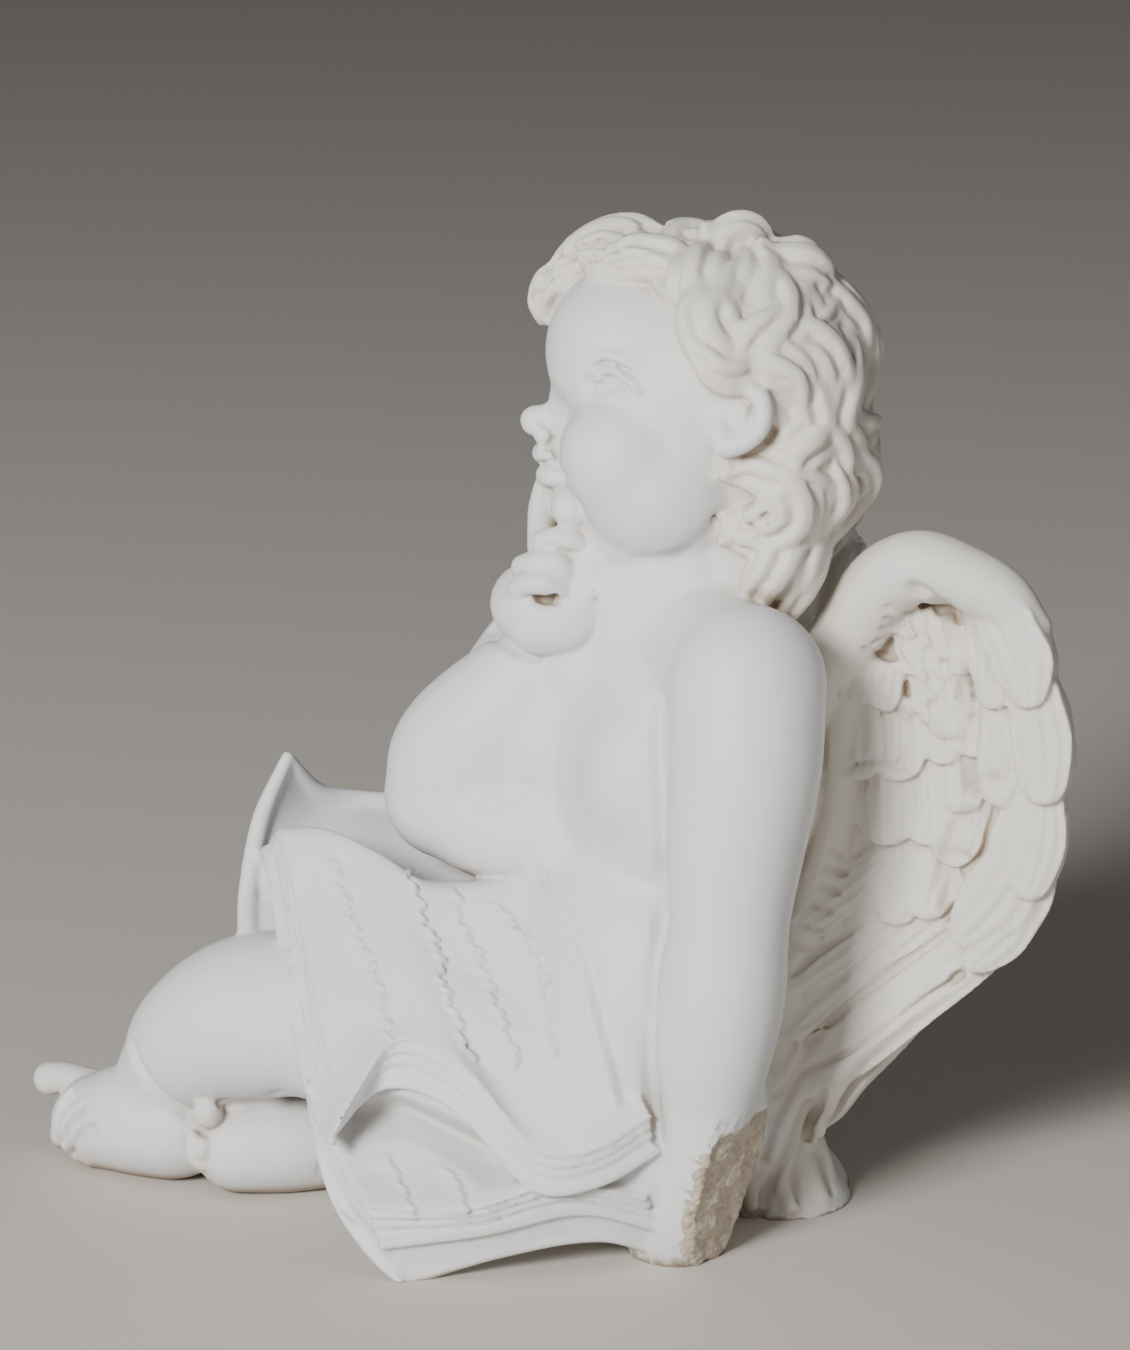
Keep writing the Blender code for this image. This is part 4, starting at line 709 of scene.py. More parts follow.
def hair(clay, tree, sizes):
    """Wavy locks: the ones at each side, the fringe, the top, and rows down the back."""
    for row in SIDE_LOCKS:
        points = [on_cap(y, z) for y, z in row]
        lock(clay, tree, points, sizes)
        lock(clay, tree, [across_head(p) for p in points], sizes)
    for width, rise, points in FRINGE:
        lock(clay, tree, points, sizes, width, rise)
    x, y, z = BACK_OF_HEAD
    for k in range(BACK_LOCKS):
        turn = math.radians(-62 + 124 * k / (BACK_LOCKS - 1))
        points = []
        for j in range(7):
            fall = math.radians(70 - 19 * j)
            swing = turn + 0.16 * math.sin(2.1 * j + k)
            reach = BACK_REACH * max(math.cos(fall), 0.25)
            across, back = reach * math.sin(swing), reach * math.cos(swing)
            points.append((x + across, y + back, z + BACK_REACH * math.sin(fall)))
        lock(clay, tree, points, sizes, 1.05)


# Rows of running strokes down the near page and the page under it, as they are lined up from the front
ROWS = (
    ((-22.8, 41.9), (-21.5, 37.7), (-20.4, 34.3), (-18.8, 30.6), (-17.9, 26.7), (-17.2, 22.7)),
    ((-14.9, 41.0), (-13.3, 35.3), (-11.9, 32.2), (-11.4, 28.4), (-10.1, 25.1), (-8.5, 20.1)),
    ((-10.2, 38.8), (-9.0, 33.9), (-7.6, 31.7), (-6.2, 27.4), (-4.8, 23.4), (-3.4, 19.2)),
    ((-5.6, 37.2), (-3.5, 34.4), (-1.3, 31.8), (-0.5, 28.4), (0.2, 25.3), (0.3, 20.5)),
)
LOW_ROWS = (
    ((-17.3, 11.4), (-16.1, 9.3), (-15.1, 6.6), (-14.3, 4.7)),
    ((-11.0, 10.0), (-9.9, 8.6), (-9.4, 7.0), (-9.0, 5.3)),
)


def squiggle(points, seed, swing):
    """A row of running strokes: a line along the points that wanders to both sides of them."""
    way = spline(points, 14 * len(points))
    for k in range(len(way)):
        way[k][0] += swing * (math.sin(1.15 * k + seed) + 0.9 * math.sin(0.43 * k + 2 * seed))
    return way


def relief(tree, sizes):
    """The marks on the pages: the rows of strokes, each with a groove beside it, and the border."""
    height = MM * sizes.stroke_height
    marks = []
    for k, row in enumerate(ROWS + LOW_ROWS):
        x, strong = (8, 1.0) if k < len(ROWS) else (14, 0.7)
        way = squiggle(row, 1.7 * k, 0.32 * strong)
        marks.append((seen(tree, x, way), 0.42, -height * strong))
        marks.append((seen(tree, x, [(y + 0.5, z) for y, z in way]), 0.40, 0.6 * height * strong))
    marks.append(([near_page().at(0.96, v) for v in (0.12, 0.3, 0.5, 0.7, 0.9)], 1.0, -0.3))
    return marks


# Marks of the carving, lined up from the front: the X that they are aimed at, their radius and their
# depth, negative for a ridge, and then each line as places (y, z)
FRONT_MARKS = (
    # Crook of the arm, wrist, fist and a fold of the neck
    (0, 1.7, 0.6, ((-6.6, 45.5), (-4.6, 47.0), (-2.8, 48.0))),
    (1, 1.1, 0.5, ((-6.2, 65.2), (-5.6, 64.3), (-3.7, 63.0), (-1.6, 62.1))),
    (2.5, 0.95, 1.3, ((-1.0, 69.1), (0.4, 68.8))),
    (3, 1.1, -0.25, ((5.4, 70.9), (6.1, 67.2), (6.2, 64.5), (4.1, 62.4), (2.0, 60.2))),
    (2, 0.8, -1.1, ((4.3, 69.1),)),
    (9, 1.6, 0.5, ((5.5, 73.3), (9.5, 74.1), (13.4, 75.7), (16.9, 78.6))),
    # Gaps between the toes, the bend of the ankle and the sole
    (-14, 0.8, 0.9, ((-55.9, 5.9), (-53.1, 9.0)), ((-55.6, 2.8), (-54.6, 6.2), (-52.7, 8.2)),
     ((-54.7, 1.6), (-53.6, 5.2), (-51.8, 7.1))),
    (-14, 0.8, 0.8, ((-53.2, 1.4), (-51.9, 4.3), (-50.6, 4.9))),
    (-6, 1.2, 0.7, ((-45.5, 17.0), (-44.4, 14.0), (-42.1, 11.1), (-39.6, 9.4))),
    (-4, 1.0, 0.5, ((-35.8, 11.3), (-31.0, 11.9), (-25.7, 11.7))),
    # Eyelid, pupil and the corners of the eye and the mouth
    (7, 0.45, 0.2, ((4.5, 94.0), (5.6, 94.7), (7.2, 94.3), (9.2, 93.0))),
    (7, 0.6, 0.4, ((5.8, 92.6),)),
    (7, 0.4, 0.4, ((5.2, 92.5), (5.9, 93.2), (6.9, 92.9), (8.0, 92.1))),
    (6, 1.1, 0.5, ((4.1, 92.4),)),
    (0, 0.6, 0.5, ((-1.0, 82.7), (-0.2, 82.8), (0.7, 82.4))),
    # Grooves between the locks over the brow
    (-8, 0.8, 0.6, ((3.4, 104.1), (1.1, 103.6), (-0.5, 102.1), (-2.7, 101.4)),
     ((2.8, 102.5), (0.3, 101.4), (-0.9, 99.6), (-1.9, 98.8)), ((2.0, 99.6), (0.6, 98.6), (-0.3, 96.7))),
    (0, 0.8, 0.5, ((4.3, 104.3), (5.2, 106.1), (7.7, 107.2), (11.3, 107.4), (14.4, 106.6)),
     ((5.1, 103.4), (6.7, 104.5), (9.4, 104.7))),
    # Barbs of the feathers beside the arm
    (4, 0.7, 0.45, ((29.6, 41.9), (30.8, 41.3)), ((28.9, 39.9), (31.0, 39.4)),
     ((28.4, 37.9), (30.3, 37.3)), ((27.5, 36.0), (29.4, 35.2))),
    (4, 0.7, 0.4, ((26.3, 33.8), (28.2, 33.1)), ((25.7, 31.5), (27.6, 30.9))),
    # Edge of the cheek
    (0, 0.9, 0.5, ((1.6, 88.9), (0.9, 86.3), (0.8, 83.6), (1.6, 81.2))),
    # Furrows of the feathers that run down to the prop
    (6, 0.8, 0.8, ((43.3, 28.8), (38.1, 25.0), (32.0, 20.8), (26.4, 17.8), (24.2, 15.2))),
    (5, 0.9, 0.6, ((41.5, 33.0), (35.0, 28.0), (28.9, 22.7), (25.8, 17.4), (23.6, 12.4))),
    (4, 0.7, 0.5, ((34.4, 34.7), (28.8, 30.9), (25.8, 28.2))),
    (4, 0.8, 0.6, ((37.5, 29.7), (31.8, 24.9), (27.3, 20.4))),
    (2, 1.0, 0.8, ((27.8, 13.2), (25.7, 8.5), (23.5, 3.9), (22.3, -0.2))),
    (2, 0.9, 0.7, ((29.1, 14.5), (27.6, 9.9), (26.3, 5.1), (26.8, 2.3)),
     ((26.6, 16.4), (24.1, 10.9), (22.9, 6.8))),
    (0, 0.9, 0.6, ((29.8, 11.8), (29.2, 6.1), (30.3, 2.7))),
    # Nostril
    (0, 0.5, 0.35, ((-0.9, 86.9), (0.1, 86.3), (0.3, 85.2), (-0.4, 84.3))),
    # Edges of the small feathers
    (9, 0.55, 0.4, ((34.8, 69.4), (37.0, 68.8)), ((34.7, 68.2), (36.3, 67.6)),
     ((34.3, 67.2), (36.2, 66.9)), ((33.5, 65.7), (36.2, 65.9))),
    (9, 0.6, 0.45, ((32.6, 65.0), (34.4, 64.4), (36.5, 63.7), (37.5, 62.6))),
    (9, 0.55, 0.4, ((37.3, 67.8), (38.2, 66.5)), ((38.8, 67.4), (39.6, 65.9))),
    (9, 0.55, 0.45, ((38.4, 63.4), (39.4, 62.1), (40.2, 61.3))),
    (9, 0.6, 0.45, ((41.1, 61.5), (41.6, 60.0), (42.8, 59.4), (43.8, 59.7)),
     ((35.9, 58.4), (37.8, 57.6), (40.0, 59.6)),
     ((38.5, 56.9), (39.4, 55.4), (41.1, 55.1), (42.9, 55.3)),
     ((31.5, 52.6), (33.3, 52.9), (35.4, 52.5), (36.9, 51.6))),
    (9, 0.55, 0.4, ((36.0, 52.5), (37.3, 54.1))),
    # Edges of single pages
    (8, 0.5, 0.35, ((-27.0, 38.0), (-26.2, 30.7), (-25.3, 24.5), (-24.2, 19.6), (-22.6, 17.3)),
     ((-27.3, 30.7), (-26.6, 25.6), (-26.0, 19.6), (-24.9, 15.8), (-22.3, 13.4))),
    (12, 0.5, 0.35, ((-25.5, 19.6), (-24.7, 13.6), (-23.5, 8.3), (-22.3, 5.3), (-20.3, 3.4))),
    (12, 0.5, 0.3, ((-25.0, 14.4), (-24.2, 8.7), (-22.9, 3.8), (-20.8, 1.4))),
    # Groove and rise along the inner edge of the near pages
    (11, 1.2, 0.6, ((-1.0, 41.3), (3.1, 33.7), (5.2, 27.1), (7.9, 16.8))),
    (11, 1.1, -0.35, ((-2.1, 41.6), (1.9, 34.1), (4.0, 27.1), (6.8, 16.8))),
    # Crease between the arm and the wing
    (14, 1.3, 0.7, ((11.2, 60.8), (11.4, 50.2), (11.8, 42.7), (11.5, 36.2), (10.6, 28.6),
      (10.4, 22.1), (10.8, 17.1))),
)
# Deep hollows of the left wing: under the roll and between the outer feathers and the middle ones
WING_HOLLOWS = (
    (9, 2.3, 1.4, ((40.6, 69.4), (42.4, 67.0), (43.6, 64.0), (43.8, 60.4))),
    (9, 1.6, 0.9, ((43.8, 58.0), (43.5, 54.6), (44.0, 51.0)),
     ((43.3, 47.2), (41.8, 43.4), (41.4, 40.2), (41.8, 36.9))),
    (10, 1.5, 0.9, ((44.2, 50.4), (46.2, 51.0))),
    (9, 1.5, 0.9, ((41.2, 42.6), (43.0, 42.3))),
    (9, 1.3, 1.2, ((37.6, 71.4), (39.5, 70.2), (41.6, 68.6))),
)
# The hollow under the lifted corner of the near pages, and the way that it goes in
PAGE_HOLLOWS = (
    (12, 2.8, 2.5, ((-20.6, 14.4), (-17.4, 15.0), (-13.8, 14.6), (-10.6, 13.1), (-8.1, 11.2),
      (-5.9, 9.2))),
)
INTO_BOOK = np.array((1.0, 0.0, 0.0))


def seen(tree, x, places):
    """The places (y, z) at x, moved along the line of sight of the front view onto the casting."""
    eye = Vector(FRONT_EYE)
    found = []
    for y, z in places:
        aim = Vector((x, y, z))
        hit = tree.ray_cast(eye, (aim - eye).normalized())[0]
        found.append(hit if hit is not None else aim)
    return found


def carve(body, tree, sizes):
    """Presses the lines and hollows that show from the front into the fused casting."""
    press(body, relief(tree, sizes))
    for group, way_in in ((FRONT_MARKS, None), (WING_HOLLOWS, WING_FRONT), (PAGE_HOLLOWS, INTO_BOOK)):
        marks = []
        for x, radius, depth, *lines in group:
            marks += [(seen(tree, x, line), radius, depth) for line in lines]
        press(body, marks, way_in)


def fracture(mesh):
    """Makes the break at the wrist uneven, as snapped plaster is."""
    out = BREAK_OUT.normalized()
    close, reach, top = 0.35, 12, 18
    for vert in mesh.vertices:
        apart = vert.co - BREAK_AT
        height = apart.dot(out)
        if abs(height) < close and (apart - out * height).length < reach and vert.co.z < top:
            coarse = noise.noise(vert.co * 0.55)
            fine = noise.noise(vert.co * 1.9 + Vector((7, 3, 1)))
            vert.co += out * (0.45 * coarse + 0.2 * fine - 0.15)
    mesh.update()


def bare_break(mesh):
    """Gives the facets of the break at the wrist the second material, the rougher one."""
    out = BREAK_OUT.normalized()
    close, reach, facing, near_side = 1.1, 9.5, 0.3, 8
    for facet in mesh.polygons:
        apart = facet.center - BREAK_AT
        if abs(apart.dot(out)) < close and apart.length < reach and facet.center.x > near_side:
            if facet.normal.dot(out) > facing:
                facet.material_index = 1


def mesh_from(clay, name):
    """Turns a lump of clay into an object."""
    mesh = bpy.data.meshes.new(name)
    bmesh.ops.recalc_face_normals(clay, faces=clay.faces)
    clay.to_mesh(mesh)
    clay.free()
    made = bpy.data.objects.new(name, mesh)
    bpy.context.scene.collection.objects.link(made)
    return made


def evaluated(shape):
    """The mesh that an object's modifiers give; the object itself is removed."""
    bpy.context.view_layer.update()
    made = bpy.data.meshes.new_from_object(shape.evaluated_get(bpy.context.evaluated_depsgraph_get()))
    bpy.data.objects.remove(shape)
    return made


# Passes of smoothing over the soft flesh and over the finished carving
FLESH_PASSES = 14
CARVING_PASSES = 3


def settle(shape, grain, passes):
    """Fuses an object's overlapping forms into one skin and smooths it."""
    fuse = shape.modifiers.new("fuse", "REMESH")
    fuse.mode = "VOXEL"
    fuse.voxel_size = grain
    ease = shape.modifiers.new("ease", "SMOOTH")
    ease.factor = 0.5
    ease.iterations = passes
    return evaluated(shape)


def outer_skin(mesh):
    """Deletes every shell but the largest, which fills the pockets that strands close between them."""
    count = len(mesh.vertices)
    ends = np.empty(len(mesh.edges) * 2, np.int64)
    mesh.edges.foreach_get("vertices", ends)
    ends = ends.reshape(-1, 2)
    label = np.arange(count)
    while True:
        least = np.minimum(label[ends[:, 0]], label[ends[:, 1]])
        new = label.copy()
        np.minimum.at(new, ends[:, 0], least)
        np.minimum.at(new, ends[:, 1], least)
        new = new[new]
        if (new == label).all():
            break
        label = new
    names, sizes = np.unique(label, return_counts=True)
    stray = np.nonzero(label != names[sizes.argmax()])[0]
    if len(stray):
        shape = bmesh.new()
        shape.from_mesh(mesh)
        shape.verts.ensure_lookup_table()
        bmesh.ops.delete(shape, geom=[shape.verts[int(k)] for k in stray], context="VERTS")
        shape.to_mesh(mesh)
        shape.free()


def levelled(shape):
    """Cuts an object's underside flat where the figurine stands, and gives the mesh."""
    block = bmesh.new()
    wide, deep = 300, 40
    size = Matrix.Diagonal((wide, wide, deep, 1))
    bmesh.ops.create_cube(block, size=1, matrix=Matrix.Translation((0, 0, -deep / 2)) @ size)
    ground = mesh_from(block, "ground")
    cut = shape.modifiers.new("level", "BOOLEAN")
    cut.operation = "DIFFERENCE"
    cut.solver = "EXACT"
    cut.object = ground
    made = evaluated(shape)
    bpy.data.objects.remove(ground)
    return made


def stand(mesh):
    """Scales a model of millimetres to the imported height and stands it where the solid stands."""
    size = (CAD_BOX[1][2] - CAD_BOX[0][2]) / MODEL_HEIGHT
    mesh.transform(Matrix.Scale(size, 4) @ Matrix.Translation((-MODEL_MIDDLE[0], -MODEL_MIDDLE[1], 0)))


def group_of(form, *more):
    """The search tree of one group of forms, which tells later what a place belongs to."""
    lump = bmesh.new()
    form(lump, *more)
    found = BVHTree.FromBMesh(lump)
    lump.free()
    return found


def tint(mesh, groups):
    """Stores how creamy each place of the casting is, from the forms it belongs to."""
    warmth = np.zeros(len(mesh.vertices), np.float32)
    for k, vert in enumerate(mesh.vertices):
        for tree, share in groups:
            if tree.find_nearest(vert.co, 0.7)[0] is not None:
                warmth[k] = max(warmth[k], share)
    ends = np.empty(len(mesh.edges) * 2, np.int64)
    mesh.edges.foreach_get("vertices", ends)
    ends = ends.reshape(-1, 2)
    count = np.bincount(ends.ravel(), minlength=len(warmth)).astype(np.float32)
    for _ in range(6):
        total = np.bincount(ends[:, 0], warmth[ends[:, 1]], len(warmth))
        total += np.bincount(ends[:, 1], warmth[ends[:, 0]], len(warmth))
        warmth = (0.4 * warmth + 0.6 * total / np.maximum(count, 1)).astype(np.float32)
    mesh.attributes.new("warmth", "FLOAT", "POINT").data.foreach_set("value", warmth)


def add(tree, kind, settings=None, sockets=None):
    """Adds a node with its settings; a socket takes a value, or a link from another node's output."""
    made = tree.nodes.new(kind)
    for name, value in (settings or {}).items():
        setattr(made, name, value)
    for name, value in (sockets or {}).items():
        if isinstance(value, bpy.types.NodeSocket):
            tree.links.new(value, made.inputs[name])
        else:
            made.inputs[name].default_value = value
    return made


def new_material(name):
    """A material with an empty Principled surface."""
    made = bpy.data.materials.new(name)
    made.use_nodes = True
    return made, made.node_tree, made.node_tree.nodes["Principled BSDF"]


GYPSUM_IOR = 1.52


def cast_plaster(sizes):
    """Gypsum plaster poured in a rubber mould and left bare.

    It is matt and chalky, a clean white on the smooth flesh and creamier in the carving, where release
    oil stays. Hollows, creases and the pinholes that air in the mix leaves get painted shade, with dust
    too in the finest creases.
    """
    made, tree, shader = new_material("cast gypsum plaster")
    where = add(tree, "ShaderNodeTexCoord").outputs["Object"]
    warmth = add(tree, "ShaderNodeAttribute", {"attribute_name": "warmth"}).outputs["Fac"]
    # Cloudy mottling about 9 mm across, as plaster dries unevenly
    clouds = add(tree, "ShaderNodeTexNoise", None, {"Vector": where, "Scale": 1 / 0.009, "Detail": 4.0})
    patchy = add(tree, "ShaderNodeMath", {"operation": "MULTIPLY_ADD"},
                 {0: clouds.outputs["Fac"], 1: 0.5, 2: -0.25}).outputs[0]
    creamy = add(tree, "ShaderNodeMath", {"operation": "ADD", "use_clamp": True}, {0: warmth, 1: patchy})
    body = add(tree, "ShaderNodeMix", {"data_type": "RGBA"},
               {0: creamy.outputs[0], 6: (*sizes.plaster_colour, 1), 7: (*sizes.carving_colour, 1)})
    # Painted shade: a faint darkening in hollows of about 7 mm, and a stronger one in creases narrower
    # than about 2 mm, which also stands for dust there
    shaded_and_dusted = body
    for reach, bare, full, most in ((0.007, 0.85, 0.2, 0.35), (0.0022, 0.78, 0.25, 0.75)):
        hollow = add(tree, "ShaderNodeAmbientOcclusion", {"samples": 8}, {"Distance": reach})
        shade_and_dust_amount = add(tree, "ShaderNodeMapRange", None,
                    {"Value": hollow.outputs["AO"], "From Min": bare, "From Max": full, "To Max": most})
        shaded_and_dusted = add(tree, "ShaderNodeMix", {"data_type": "RGBA"},
                     {0: shade_and_dust_amount.outputs[0], 6: shaded_and_dusted.outputs[2], 7: (*sizes.shade_and_dust_colour, 1)})
    # Pinholes about 0.3 mm wide and 11 mm apart, darkened inside with painted shade
    cells = add(tree, "ShaderNodeTexVoronoi", {"feature": "F1"}, {"Vector": where, "Scale": 1 / 0.011})
    hole = add(tree, "ShaderNodeMapRange", None,
               {"Value": cells.outputs["Distance"], "From Min": 0.018, "From Max": 0.010, "To Max": 0.6})
    pitted = add(tree, "ShaderNodeMix", {"data_type": "RGBA"},
                 {0: hole.outputs[0], 6: shaded_and_dusted.outputs[2], 7: (*sizes.shade_and_dust_colour, 1)})
    # Skin of the cast: grain of 0.5 mm, drawn coarser than gypsum's own so that it shows
    grain = add(tree, "ShaderNodeTexNoise", None, {"Vector": where, "Scale": 1 / 0.0005, "Detail": 3.0})
    waves = add(tree, "ShaderNodeTexNoise", None, {"Vector": where, "Scale": 1 / 0.003, "Detail": 2.0})
    skin_bump = add(tree, "ShaderNodeBump", None,
                    {"Strength": 0.18, "Distance": 0.00008, "Height": grain.outputs["Fac"]})
    slow_bump = add(tree, "ShaderNodeBump", None,
                    {"Strength": 0.2, "Distance": 0.0003, "Height": waves.outputs["Fac"],
                     "Normal": skin_bump.outputs["Normal"]})
    pit_bump = add(tree, "ShaderNodeBump", {"invert": True},
                   {"Strength": 0.5, "Distance": 0.0002, "Height": hole.outputs[0],
                    "Normal": slow_bump.outputs["Normal"]})
    tree.links.new(pitted.outputs[2], shader.inputs["Base Color"])
    tree.links.new(pit_bump.outputs["Normal"], shader.inputs["Normal"])
    shader.inputs["Roughness"].default_value = 0.62
    shader.inputs["IOR"].default_value = GYPSUM_IOR
    return made


def broken_plaster(sizes):
    """Plaster snapped across: grainy, greyer than the skin, with bright crystal specks."""
    made, tree, shader = new_material("broken gypsum plaster")
    where = add(tree, "ShaderNodeTexCoord").outputs["Object"]
    # Crumbs of about 0.7 mm, drawn coarser than the crystals so that they show
    crumbs = add(tree, "ShaderNodeTexNoise", None, {"Vector": where, "Scale": 1 / 0.0007, "Detail": 6.0})
    pale = tuple(min(1.0, c * 1.25) for c in sizes.break_colour)
    shade = add(tree, "ShaderNodeMapRange", None,
                {"Value": crumbs.outputs["Fac"], "From Min": 0.42, "From Max": 0.66})
    body = add(tree, "ShaderNodeMix", {"data_type": "RGBA"},
               {0: shade.outputs[0], 6: (*sizes.break_colour, 1), 7: (*pale, 1)})
    bump = add(tree, "ShaderNodeBump", None,
               {"Strength": 0.8, "Distance": 0.0004, "Height": crumbs.outputs["Fac"]})
    tree.links.new(body.outputs[2], shader.inputs["Base Color"])
    tree.links.new(bump.outputs["Normal"], shader.inputs["Normal"])
    shader.inputs["Roughness"].default_value = 0.85
    shader.inputs["IOR"].default_value = GYPSUM_IOR
    return made


def painted_board(colour):
    """Board with matt emulsion paint rolled on: plain and pale, with hardly any sheen."""
    made, tree, shader = new_material("matt painted board")
    where = add(tree, "ShaderNodeTexCoord").outputs["Object"]
    # Stipple of the roller, 2 mm
    stipple = add(tree, "ShaderNodeTexNoise", None, {"Vector": where, "Scale": 1 / 0.002, "Detail": 2.0})
    bump = add(tree, "ShaderNodeBump", None,
               {"Strength": 0.05, "Distance": 0.0001, "Height": stipple.outputs["Fac"]})
    tree.links.new(bump.outputs["Normal"], shader.inputs["Normal"])
    shader.inputs["Base Color"].default_value = (*colour, 1)
    shader.inputs["Roughness"].default_value = 0.9
    return made


def length(name, description, default):
    """A size in metres that the sidebar shows with its unit."""
    return bpy.props.FloatProperty(name=name, description=description, default=default, min=0.0,
                                   precision=5, unit="LENGTH")


def whole(name, description, default, least, most):
    """A number of things."""
    return bpy.props.IntProperty(name=name, description=description, default=default, min=least,
                                 max=most)


def watts(name, description, default):
    """A lamp's power."""
    return bpy.props.FloatProperty(name=name, description=description, default=default, min=0.0,
                                   unit="POWER")


def colour(name, description, code):
    """A colour that the sidebar shows as a swatch."""
    return bpy.props.FloatVectorProperty(name=name, description=description, default=linear(code),
                                         subtype="COLOR", size=3, min=0.0, max=1.0)


class CherubCasting(bpy.types.PropertyGroup):
    lock_width: length("Lock width", "Width of a lock of hair", 0.0058)
    lock_depth: length("Lock depth", "How far a lock of hair stands out", 0.0037)
    feather_width: length("Feather width", "Width of a long feather", 0.0062)
    wing_depth: length("Wing depth", "Thickness of a wing at its root", 0.0040)
    page_block: length("Page block", "Thickness of a block of pages", 0.0044)
    page_groove: length("Page groove", "Depth of the lines between pages", 0.0009)
    page_lines: whole("Page lines", "Lines cut in the edge of a block of pages", 4, 1, 8)
    stroke_height: length("Stroke height", "How far the rows of strokes stand off a page", 0.0004)
    flesh_grain: length("Flesh grain", "Finest form that the soft flesh keeps", 0.00066)
    carving_grain: length("Carving grain", "Finest form that the carving keeps", 0.00028)
    triangles: whole("Triangles", "Triangles that the casting is thinned out to", 194000, 20000, 199000)
    plaster_colour: colour("Plaster", "Plaster on the smooth flesh", "#E7E9EB")
    carving_colour: colour("Carving", "Plaster in the carving", "#E7E0D5")
    # This colour is painted shade in the hollows, creases and pinholes, and stands for dust in the
    # finest creases too
    shade_and_dust_colour: colour("Crease", "Painted shade and dust in the creases", "#9C876C")
    break_colour: colour("Break", "Plaster inside the break", "#C2B6A6")


class CherubStage(bpy.types.PropertyGroup):
    floor_colour: colour("Floor", "Paint on the floor", "#D6D0C7")
    key_power: watts("Key light", "Power of the main lamp, at the left", 13.0)
    fill_power: watts("Fill light", "Power of the large soft lamp, at the right", 0.6)
    camera_height: bpy.props.FloatProperty(name="Camera elevation", default=math.radians(14),
                                           description="Angle the camera looks down by",
                                           subtype="ANGLE")
    camera_distance: length("Camera distance", "From the camera to the figurine's middle", 0.5510)


class CHERUB_OT_casting(bpy.types.Operator):
    """Model the whole plaster casting in place of its plain solid"""
    bl_idname = "cherub.casting"
    bl_label = "Cast the figurine"

    def execute(self, context):
        sizes = context.scene.cherub_casting
        flesh = bmesh.new()
        for form in (torso, head, arms, legs, trunk):
            form(flesh)
        flesh_mesh = settle(mesh_from(flesh, "flesh"), MM * sizes.flesh_grain, FLESH_PASSES)
        press(flesh_mesh, HOLLOWS)
        clay = bmesh.new()
        clay.from_mesh(flesh_mesh)
        tree = BVHTree.FromBMesh(clay)
        for form in (fist, toes, stump, flutes):
            form(clay)
        book(clay, sizes)
        wings(clay, sizes)
        face(clay, tree)
        hair(clay, tree, sizes)
        body = settle(mesh_from(clay, "body"), MM * sizes.carving_grain, CARVING_PASSES)
        outer_skin(body)
        rough = bpy.data.objects.new("rough", body)
        context.scene.collection.objects.link(rough)
        carve(body, BVHTree.FromObject(rough, context.evaluated_depsgraph_get()), sizes)
        fracture(body)
        thin = rough.modifiers.new("thin", "DECIMATE")
        thin.ratio = min(1.0, sizes.triangles / (2.0 * len(body.polygons)))
        casting = levelled(rough)
        tint(casting, ((group_of(hair, tree, sizes), 0.8), (group_of(wings, sizes), 0.75),
                       (group_of(toes), 0.6), (group_of(flutes), 0.7), (group_of(fist), 0.35)))
        bare_break(casting)
        stand(casting)
        casting.materials.append(cast_plaster(sizes))
        casting.materials.append(broken_plaster(sizes))
        casting.shade_smooth()
        piece = bpy.data.objects.new("plaster_casting", casting)
        context.scene.collection.objects.link(piece)
        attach(piece, "root")
        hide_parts("figurine")
        return {"FINISHED"}


# In metres: what the camera and the lamps look at, the lamps' places and widths, and half the floor
LOOK_AT = Vector((0.0075, 0.0034, 0.0601))
KEY_AT, KEY_WIDTH = (0.80, -0.42, 0.46), 0.26
FILL_AT, FILL_WIDTH = (0.7, 0.75, 0.35), 0.8
HALF_FLOOR = 4.0
ROOM_COLOUR, ROOM_LIGHT = "#F2F0EE", 0.10
# The lens, for a view of 1350 pixels in height with 9.5 pixels to a millimetre at 550 mm
VIEW_HEIGHT = 1350
SENSOR_HEIGHT = 24.0
FOCAL_LENGTH = 9.5 * 550 / VIEW_HEIGHT * SENSOR_HEIGHT


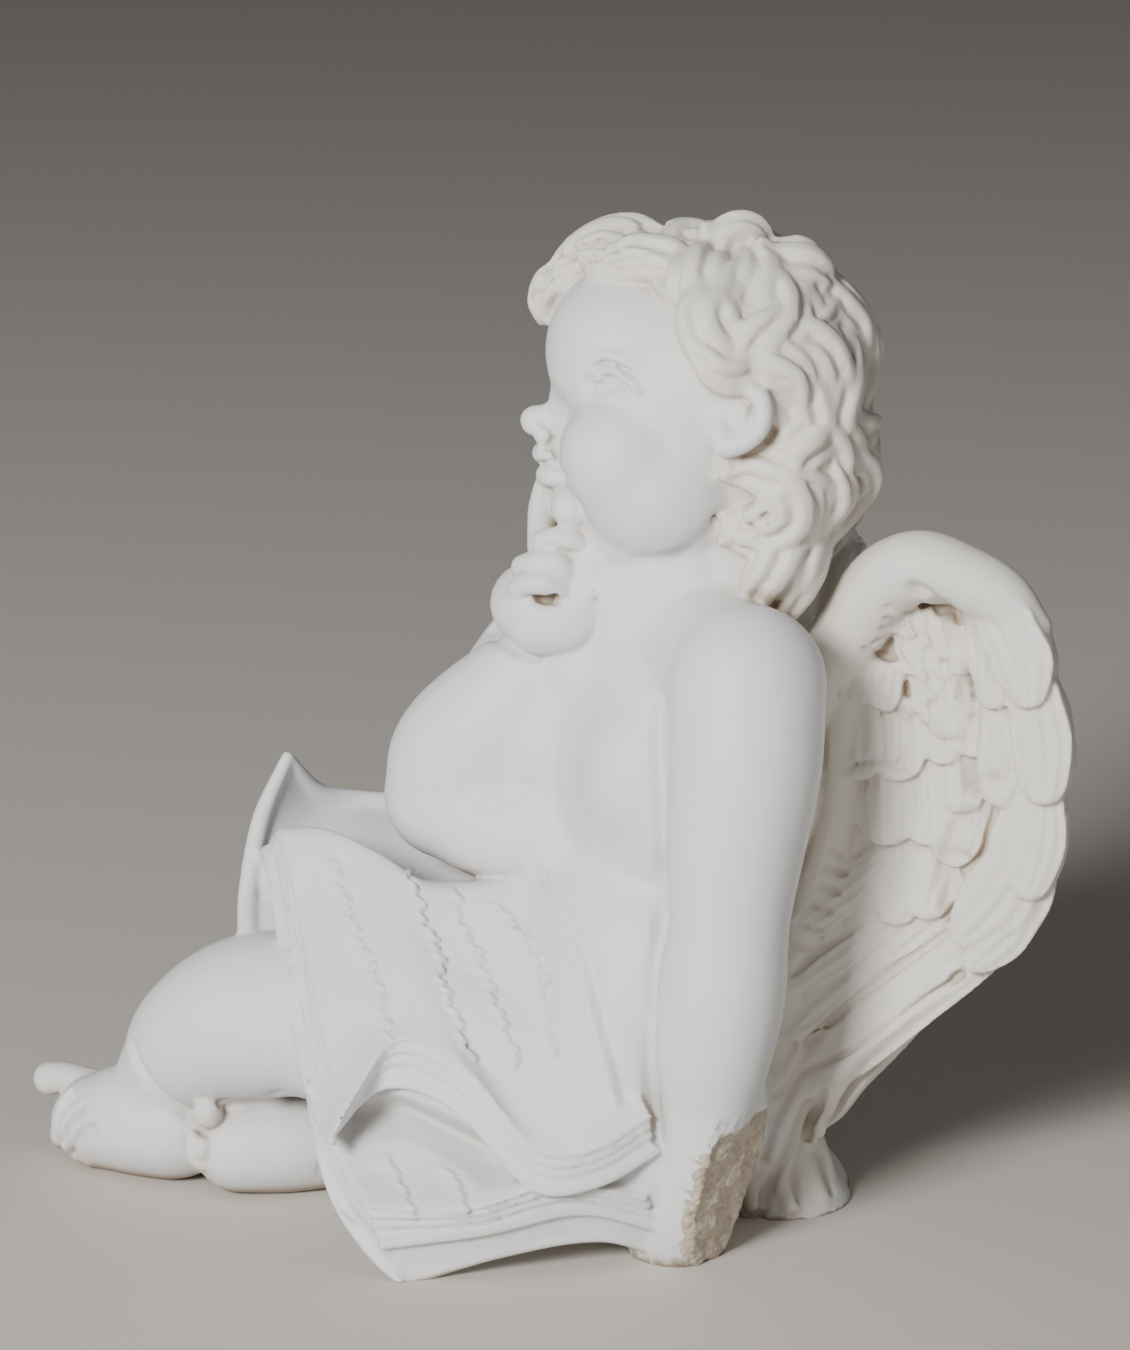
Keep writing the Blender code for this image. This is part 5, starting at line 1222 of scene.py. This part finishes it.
class CHERUB_OT_stage(bpy.types.Operator):
    """Lay the floor, light it softly and set the camera"""
    bl_idname = "cherub.stage"
    bl_label = "Set the stage"

    def execute(self, context):
        stage = context.scene.cherub_stage
        floor_mesh = bpy.data.meshes.new("floor")
        board = bmesh.new()
        bmesh.ops.create_grid(board, x_segments=1, y_segments=1, size=HALF_FLOOR)
        board.to_mesh(floor_mesh)
        board.free()
        floor_mesh.materials.append(painted_board(stage.floor_colour))
        floor = bpy.data.objects.new("floor", floor_mesh)
        context.scene.collection.objects.link(floor)
        for name, place, width, power in (("key", KEY_AT, KEY_WIDTH, stage.key_power),
                                          ("fill", FILL_AT, FILL_WIDTH, stage.fill_power)):
            lamp = bpy.data.lights.new(name, "AREA")
            lamp.size = width
            lamp.energy = power
            holder = bpy.data.objects.new(name, lamp)
            holder.location = place
            holder.rotation_euler = (LOOK_AT - Vector(place)).to_track_quat("-Z", "Y").to_euler()
            context.scene.collection.objects.link(holder)
        world = bpy.data.worlds.new("soft room")
        world.use_nodes = True
        room = world.node_tree.nodes["Background"]
        room.inputs["Color"].default_value = (*linear(ROOM_COLOUR), 1)
        room.inputs["Strength"].default_value = ROOM_LIGHT
        context.scene.world = world
        back = Vector((math.cos(stage.camera_height), 0.0, math.sin(stage.camera_height)))
        lens = bpy.data.cameras.new("camera")
        lens.sensor_fit = "VERTICAL"
        lens.sensor_height = SENSOR_HEIGHT
        lens.lens = FOCAL_LENGTH
        camera = bpy.data.objects.new("camera", lens)
        camera.location = LOOK_AT + back * stage.camera_distance
        camera.rotation_euler = (-back).to_track_quat("-Z", "Y").to_euler()
        context.scene.collection.objects.link(camera)
        context.scene.camera = camera
        return {"FINISHED"}


class CHERUB_PT_panel(bpy.types.Panel):
    """Sizes and colours of the cherub, and the buttons that make it"""
    bl_label = "Cherub"
    bl_idname = "CHERUB_PT_panel"
    bl_space_type = "VIEW_3D"
    bl_region_type = "UI"
    bl_category = "Cherub"

    def draw(self, context):
        for group, button in ((context.scene.cherub_casting, "cherub.casting"),
                              (context.scene.cherub_stage, "cherub.stage")):
            column = self.layout.column()
            for name in group.__annotations__:
                column.prop(group, name)
            column.operator(button)


CLASSES = (CherubCasting, CherubStage, CHERUB_OT_casting, CHERUB_OT_stage, CHERUB_PT_panel)


def register():
    for kind in CLASSES:
        bpy.utils.register_class(kind)
    bpy.types.Scene.cherub_casting = bpy.props.PointerProperty(type=CherubCasting)
    bpy.types.Scene.cherub_stage = bpy.props.PointerProperty(type=CherubStage)


def unregister():
    del bpy.types.Scene.cherub_casting
    del bpy.types.Scene.cherub_stage
    for kind in reversed(CLASSES):
        bpy.utils.unregister_class(kind)


def main():
    register()
    bpy.ops.cherub.casting()
    bpy.ops.cherub.stage()


if __name__ == "__main__":
    main()
